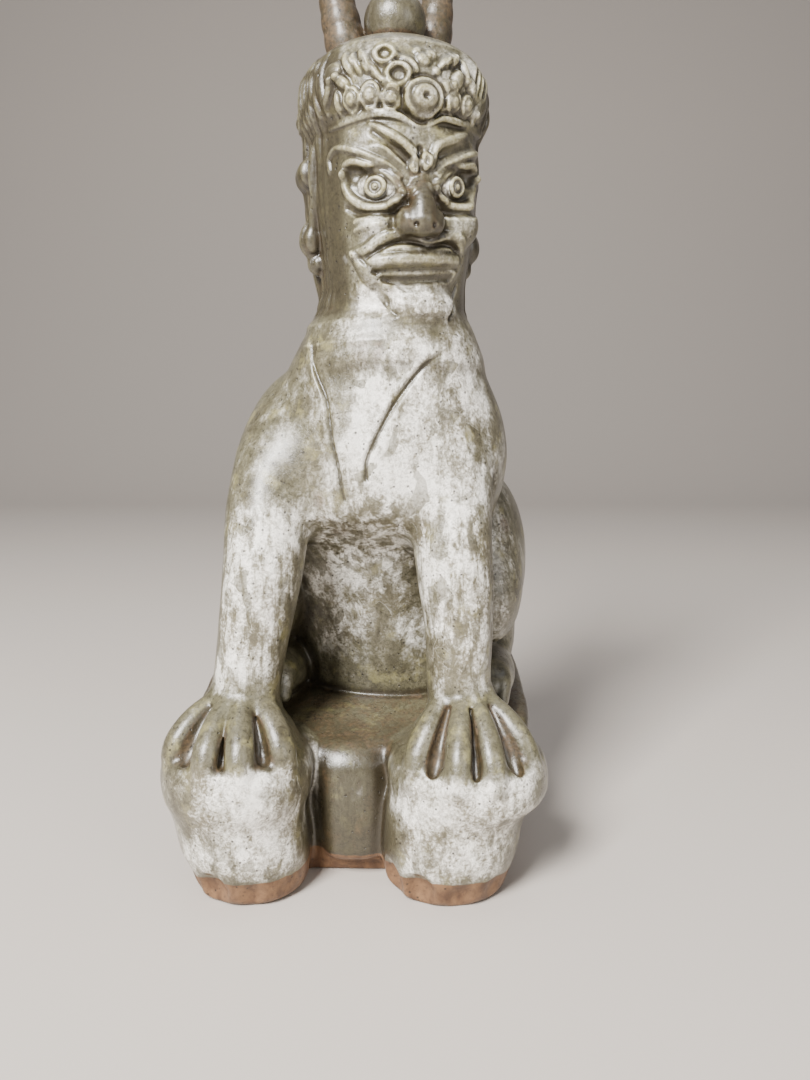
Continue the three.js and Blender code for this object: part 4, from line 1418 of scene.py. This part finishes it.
def fired_surface(name):
    """Olive glaze under a whitish film, with rusty stains, and bare clay where no glaze reached; in places
    light and shade are painted into the film and the glaze.
    """
    g = Glaze(name)
    film_and_painted_light = film_cover(g)
    rust = rust_cover(g)
    bare = bare_cover(g)
    pits = pinholes(g)

    colour = g.blend(film_and_painted_light, glaze_colour(g), film_colour(g))
    colour = g.blend(flake_lines(g), colour, linear(230, 228, 216))
    for pattern, low, high in ((g.brushed, 1.12, 0.84), (g.grain, 0.86, 1.1)):
        shade = g.between(g.steps(pattern, 0.3, 0.7), low, high)
        colour = g.math("MULTIPLY", colour, shade, vector=True)
    rusty = g.blend(g.steps(g.fine, 0.3, 0.7), linear(44, 34, 22), linear(102, 80, 53))
    colour = g.blend(g.times(rust, 0.7), colour, rusty)
    colour = g.blend(bare, colour, clay_colour(g))
    specks = g.times(g.steps(g.grain, 0.62, 0.7), g.steps(g.coarse, 0.45, 0.62), 0.45)
    colour = g.blend(specks, colour, linear(60, 51, 36))
    colour = g.blend(g.times(pits, 0.8), colour, linear(30, 25, 18))
    g.join(g.shader.inputs["Base Color"], colour)

    rough = g.total(g.between(film_and_painted_light, 0.31, 0.42), g.centred(g.fine, 0.3))
    matt = g.times(g.most(bare, g.times(rust, 0.9)), 0.85)
    g.join(g.shader.inputs["Roughness"], g.most(rough, matt))
    g.shader.inputs["Specular IOR Level"].default_value = 0.5
    g.shader.inputs["Coat Weight"].default_value = 0.42
    g.shader.inputs["Coat Roughness"].default_value = 0.28

    height = g.total(g.times(g.fine, 0.5), g.times(g.grain, 0.2), g.times(g.brushed, 0.8))
    height = g.total(height, g.times(film_and_painted_light, 0.35))
    height = g.less(height, g.times(pits, 1.2))
    bump = g.tree.nodes.new("ShaderNodeBump")
    bump.inputs["Strength"].default_value = 0.6
    bump.inputs["Distance"].default_value = 0.25 * MM
    g.join(bump.inputs["Height"], height)
    g.join(g.shader.inputs["Normal"], bump.outputs["Normal"])
    return g.material


# ---- the pieces in Blender ----
WHITENED = ("foreleg", "torso", "face", "eyeball", "front_roundel", "crown_hair")
CLAY = ("paw_lobe", "nose")
STANDS_FOR = {
    "plinth": ["plinth"],
    "torso": ["torso_front_mould", "torso_back_mould"],
    "tail": ["tail"],
    "face": ["face_mould", "brow_left", "brow_right"],
    "nose": ["nose"],
    "hair_back": ["skull_back_mould", "hair_back"],
    "crown_hair": ["hair_cap", "hair_band"],
    "front_roundel": ["front_roundel", "front_roundel_boss"],
    "crown_ball": ["crown_ball"],
}


def cad_nodes(name):
    """The CAD nodes that a piece stands for."""
    if name == "crown_hair":
        return STANDS_FOR[name] + [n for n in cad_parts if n.startswith(("ring_curl_", "hair_boss_"))]
    if name in STANDS_FOR:
        return STANDS_FOR[name]
    kind, side = name.rsplit("_", 1)
    if kind == "hind_foot":
        return [f"hind_foot_{side}", f"hind_shank_{side}"]
    if kind == "forepaw":
        return [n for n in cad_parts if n.startswith(f"forepaw_{side}")]
    return [name]


def slot_of(name):
    """The record's slot for a piece. The torso has its front mould's, and the face its mould's."""
    if name.startswith(WHITENED):
        return "whitened_glaze"
    return "bare_clay" if name.startswith(CLAY) else "olive_glaze"


def make_piece(name, points, quads, normals, ridge, shelter, materials):
    mesh = bpy.data.meshes.new(name)
    mesh.vertices.add(len(points))
    mesh.vertices.foreach_set("co", (points * MM).astype(np.float32).ravel())
    mesh.loops.add(quads.size)
    mesh.loops.foreach_set("vertex_index", quads.astype(np.int32).ravel())
    mesh.polygons.add(len(quads))
    mesh.polygons.foreach_set("loop_start", np.arange(0, quads.size, 4, dtype=np.int32))
    mesh.update(calc_edges=True)
    mesh.validate()
    mesh.shade_smooth()
    mesh.normals_split_custom_set_from_vertices(normals.astype(np.float32))
    layers = {"ridge": ridge, "shelter": shelter, **masks(name, points, normals, shelter)}
    for layer, values in layers.items():
        mesh.attributes.new(layer, "FLOAT", "POINT").data.foreach_set("value", values.astype(np.float32))
    piece = bpy.data.objects.new(f"clay_{name}", mesh)
    bpy.context.scene.collection.objects.link(piece)
    slot = slot_of(name)
    mesh.materials.append(materials[slot])
    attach(piece, "root")
    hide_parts(*cad_nodes(name))
    return piece


def build_figure():
    model_all()
    with ThreadPoolExecutor(4) as pool:
        made = [piece for group in pool.map(model_clay, JOBS) for piece in group]
    materials = {name: fired_surface(name) for name in ("olive_glaze", "whitened_glaze", "bare_clay")}
    for piece in made:
        make_piece(*piece, materials)


# ---- the studio ----
CAMERA_PLACE = (16, -300, 146)
CAMERA_PITCH = 8.2  # degrees below level
LENS = 30.0
FLOOR_REACH = 1.1  # metres behind the statue to where the backdrop turns up
BEND = 0.8  # metres, the radius of that turn


def build_floor():
    profile = [(-3.0, 0.0), (FLOOR_REACH, 0.0)]
    for t in np.linspace(0, math.pi / 2, 16)[1:]:
        profile.append((FLOOR_REACH + BEND * math.sin(t), BEND * (1 - math.cos(t))))
    profile.append((FLOOR_REACH + BEND, 4.0))
    half = 3.5
    points = [(x, y, z) for y, z in profile for x in (-half, half)]
    faces = [(2 * i, 2 * i + 1, 2 * i + 3, 2 * i + 2) for i in range(len(profile) - 1)]
    mesh = bpy.data.meshes.new("sweep")
    mesh.from_pydata(points, [], faces)
    mesh.shade_smooth()
    floor = bpy.data.objects.new("sweep", mesh)
    bpy.context.scene.collection.objects.link(floor)
    material = bpy.data.materials.new("pale_paper")
    material.use_nodes = True
    shader = material.node_tree.nodes["Principled BSDF"]
    shader.inputs["Base Color"].default_value = linear(190, 182, 174)
    shader.inputs["Roughness"].default_value = 0.75
    mesh.materials.append(material)


def area_light(name, place, target, size, power, colour):
    light = bpy.data.lights.new(name, "AREA")
    light.shape = "RECTANGLE"
    light.size, light.size_y = size
    light.energy = power
    light.color = colour
    lamp = bpy.data.objects.new(name, light)
    lamp.location = place
    lamp.rotation_euler = (Vector(target) - Vector(place)).to_track_quat("-Z", "Y").to_euler()
    bpy.context.scene.collection.objects.link(lamp)


def build_studio():
    build_floor()
    middle = (0, 0, 0.15)
    area_light("key", (-0.42, -0.85, 0.85), middle, (0.35, 0.45), 50, (1.0, 0.98, 0.95))
    area_light("fill", (0.8, -0.9, 0.5), middle, (0.5, 0.8), 5, (1.0, 0.97, 0.93))
    area_light("top", (0.1, 0.3, 1.5), middle, (1.2, 1.2), 6, (0.97, 0.98, 1.0))
    world = bpy.data.worlds.new("studio")
    world.use_nodes = True
    world.node_tree.nodes["Background"].inputs["Color"].default_value = (0.9, 0.92, 1.0, 1.0)
    world.node_tree.nodes["Background"].inputs["Strength"].default_value = 0.2
    bpy.context.scene.world = world
    camera = bpy.data.objects.new("camera", bpy.data.cameras.new("camera"))
    camera.data.lens = LENS
    camera.data.clip_start = 0.01
    camera.location = [c * MM for c in CAMERA_PLACE]
    camera.rotation_euler = (math.radians(90 - CAMERA_PITCH), 0, 0)
    bpy.context.scene.collection.objects.link(camera)
    bpy.context.scene.camera = camera


build_figure()
build_studio()
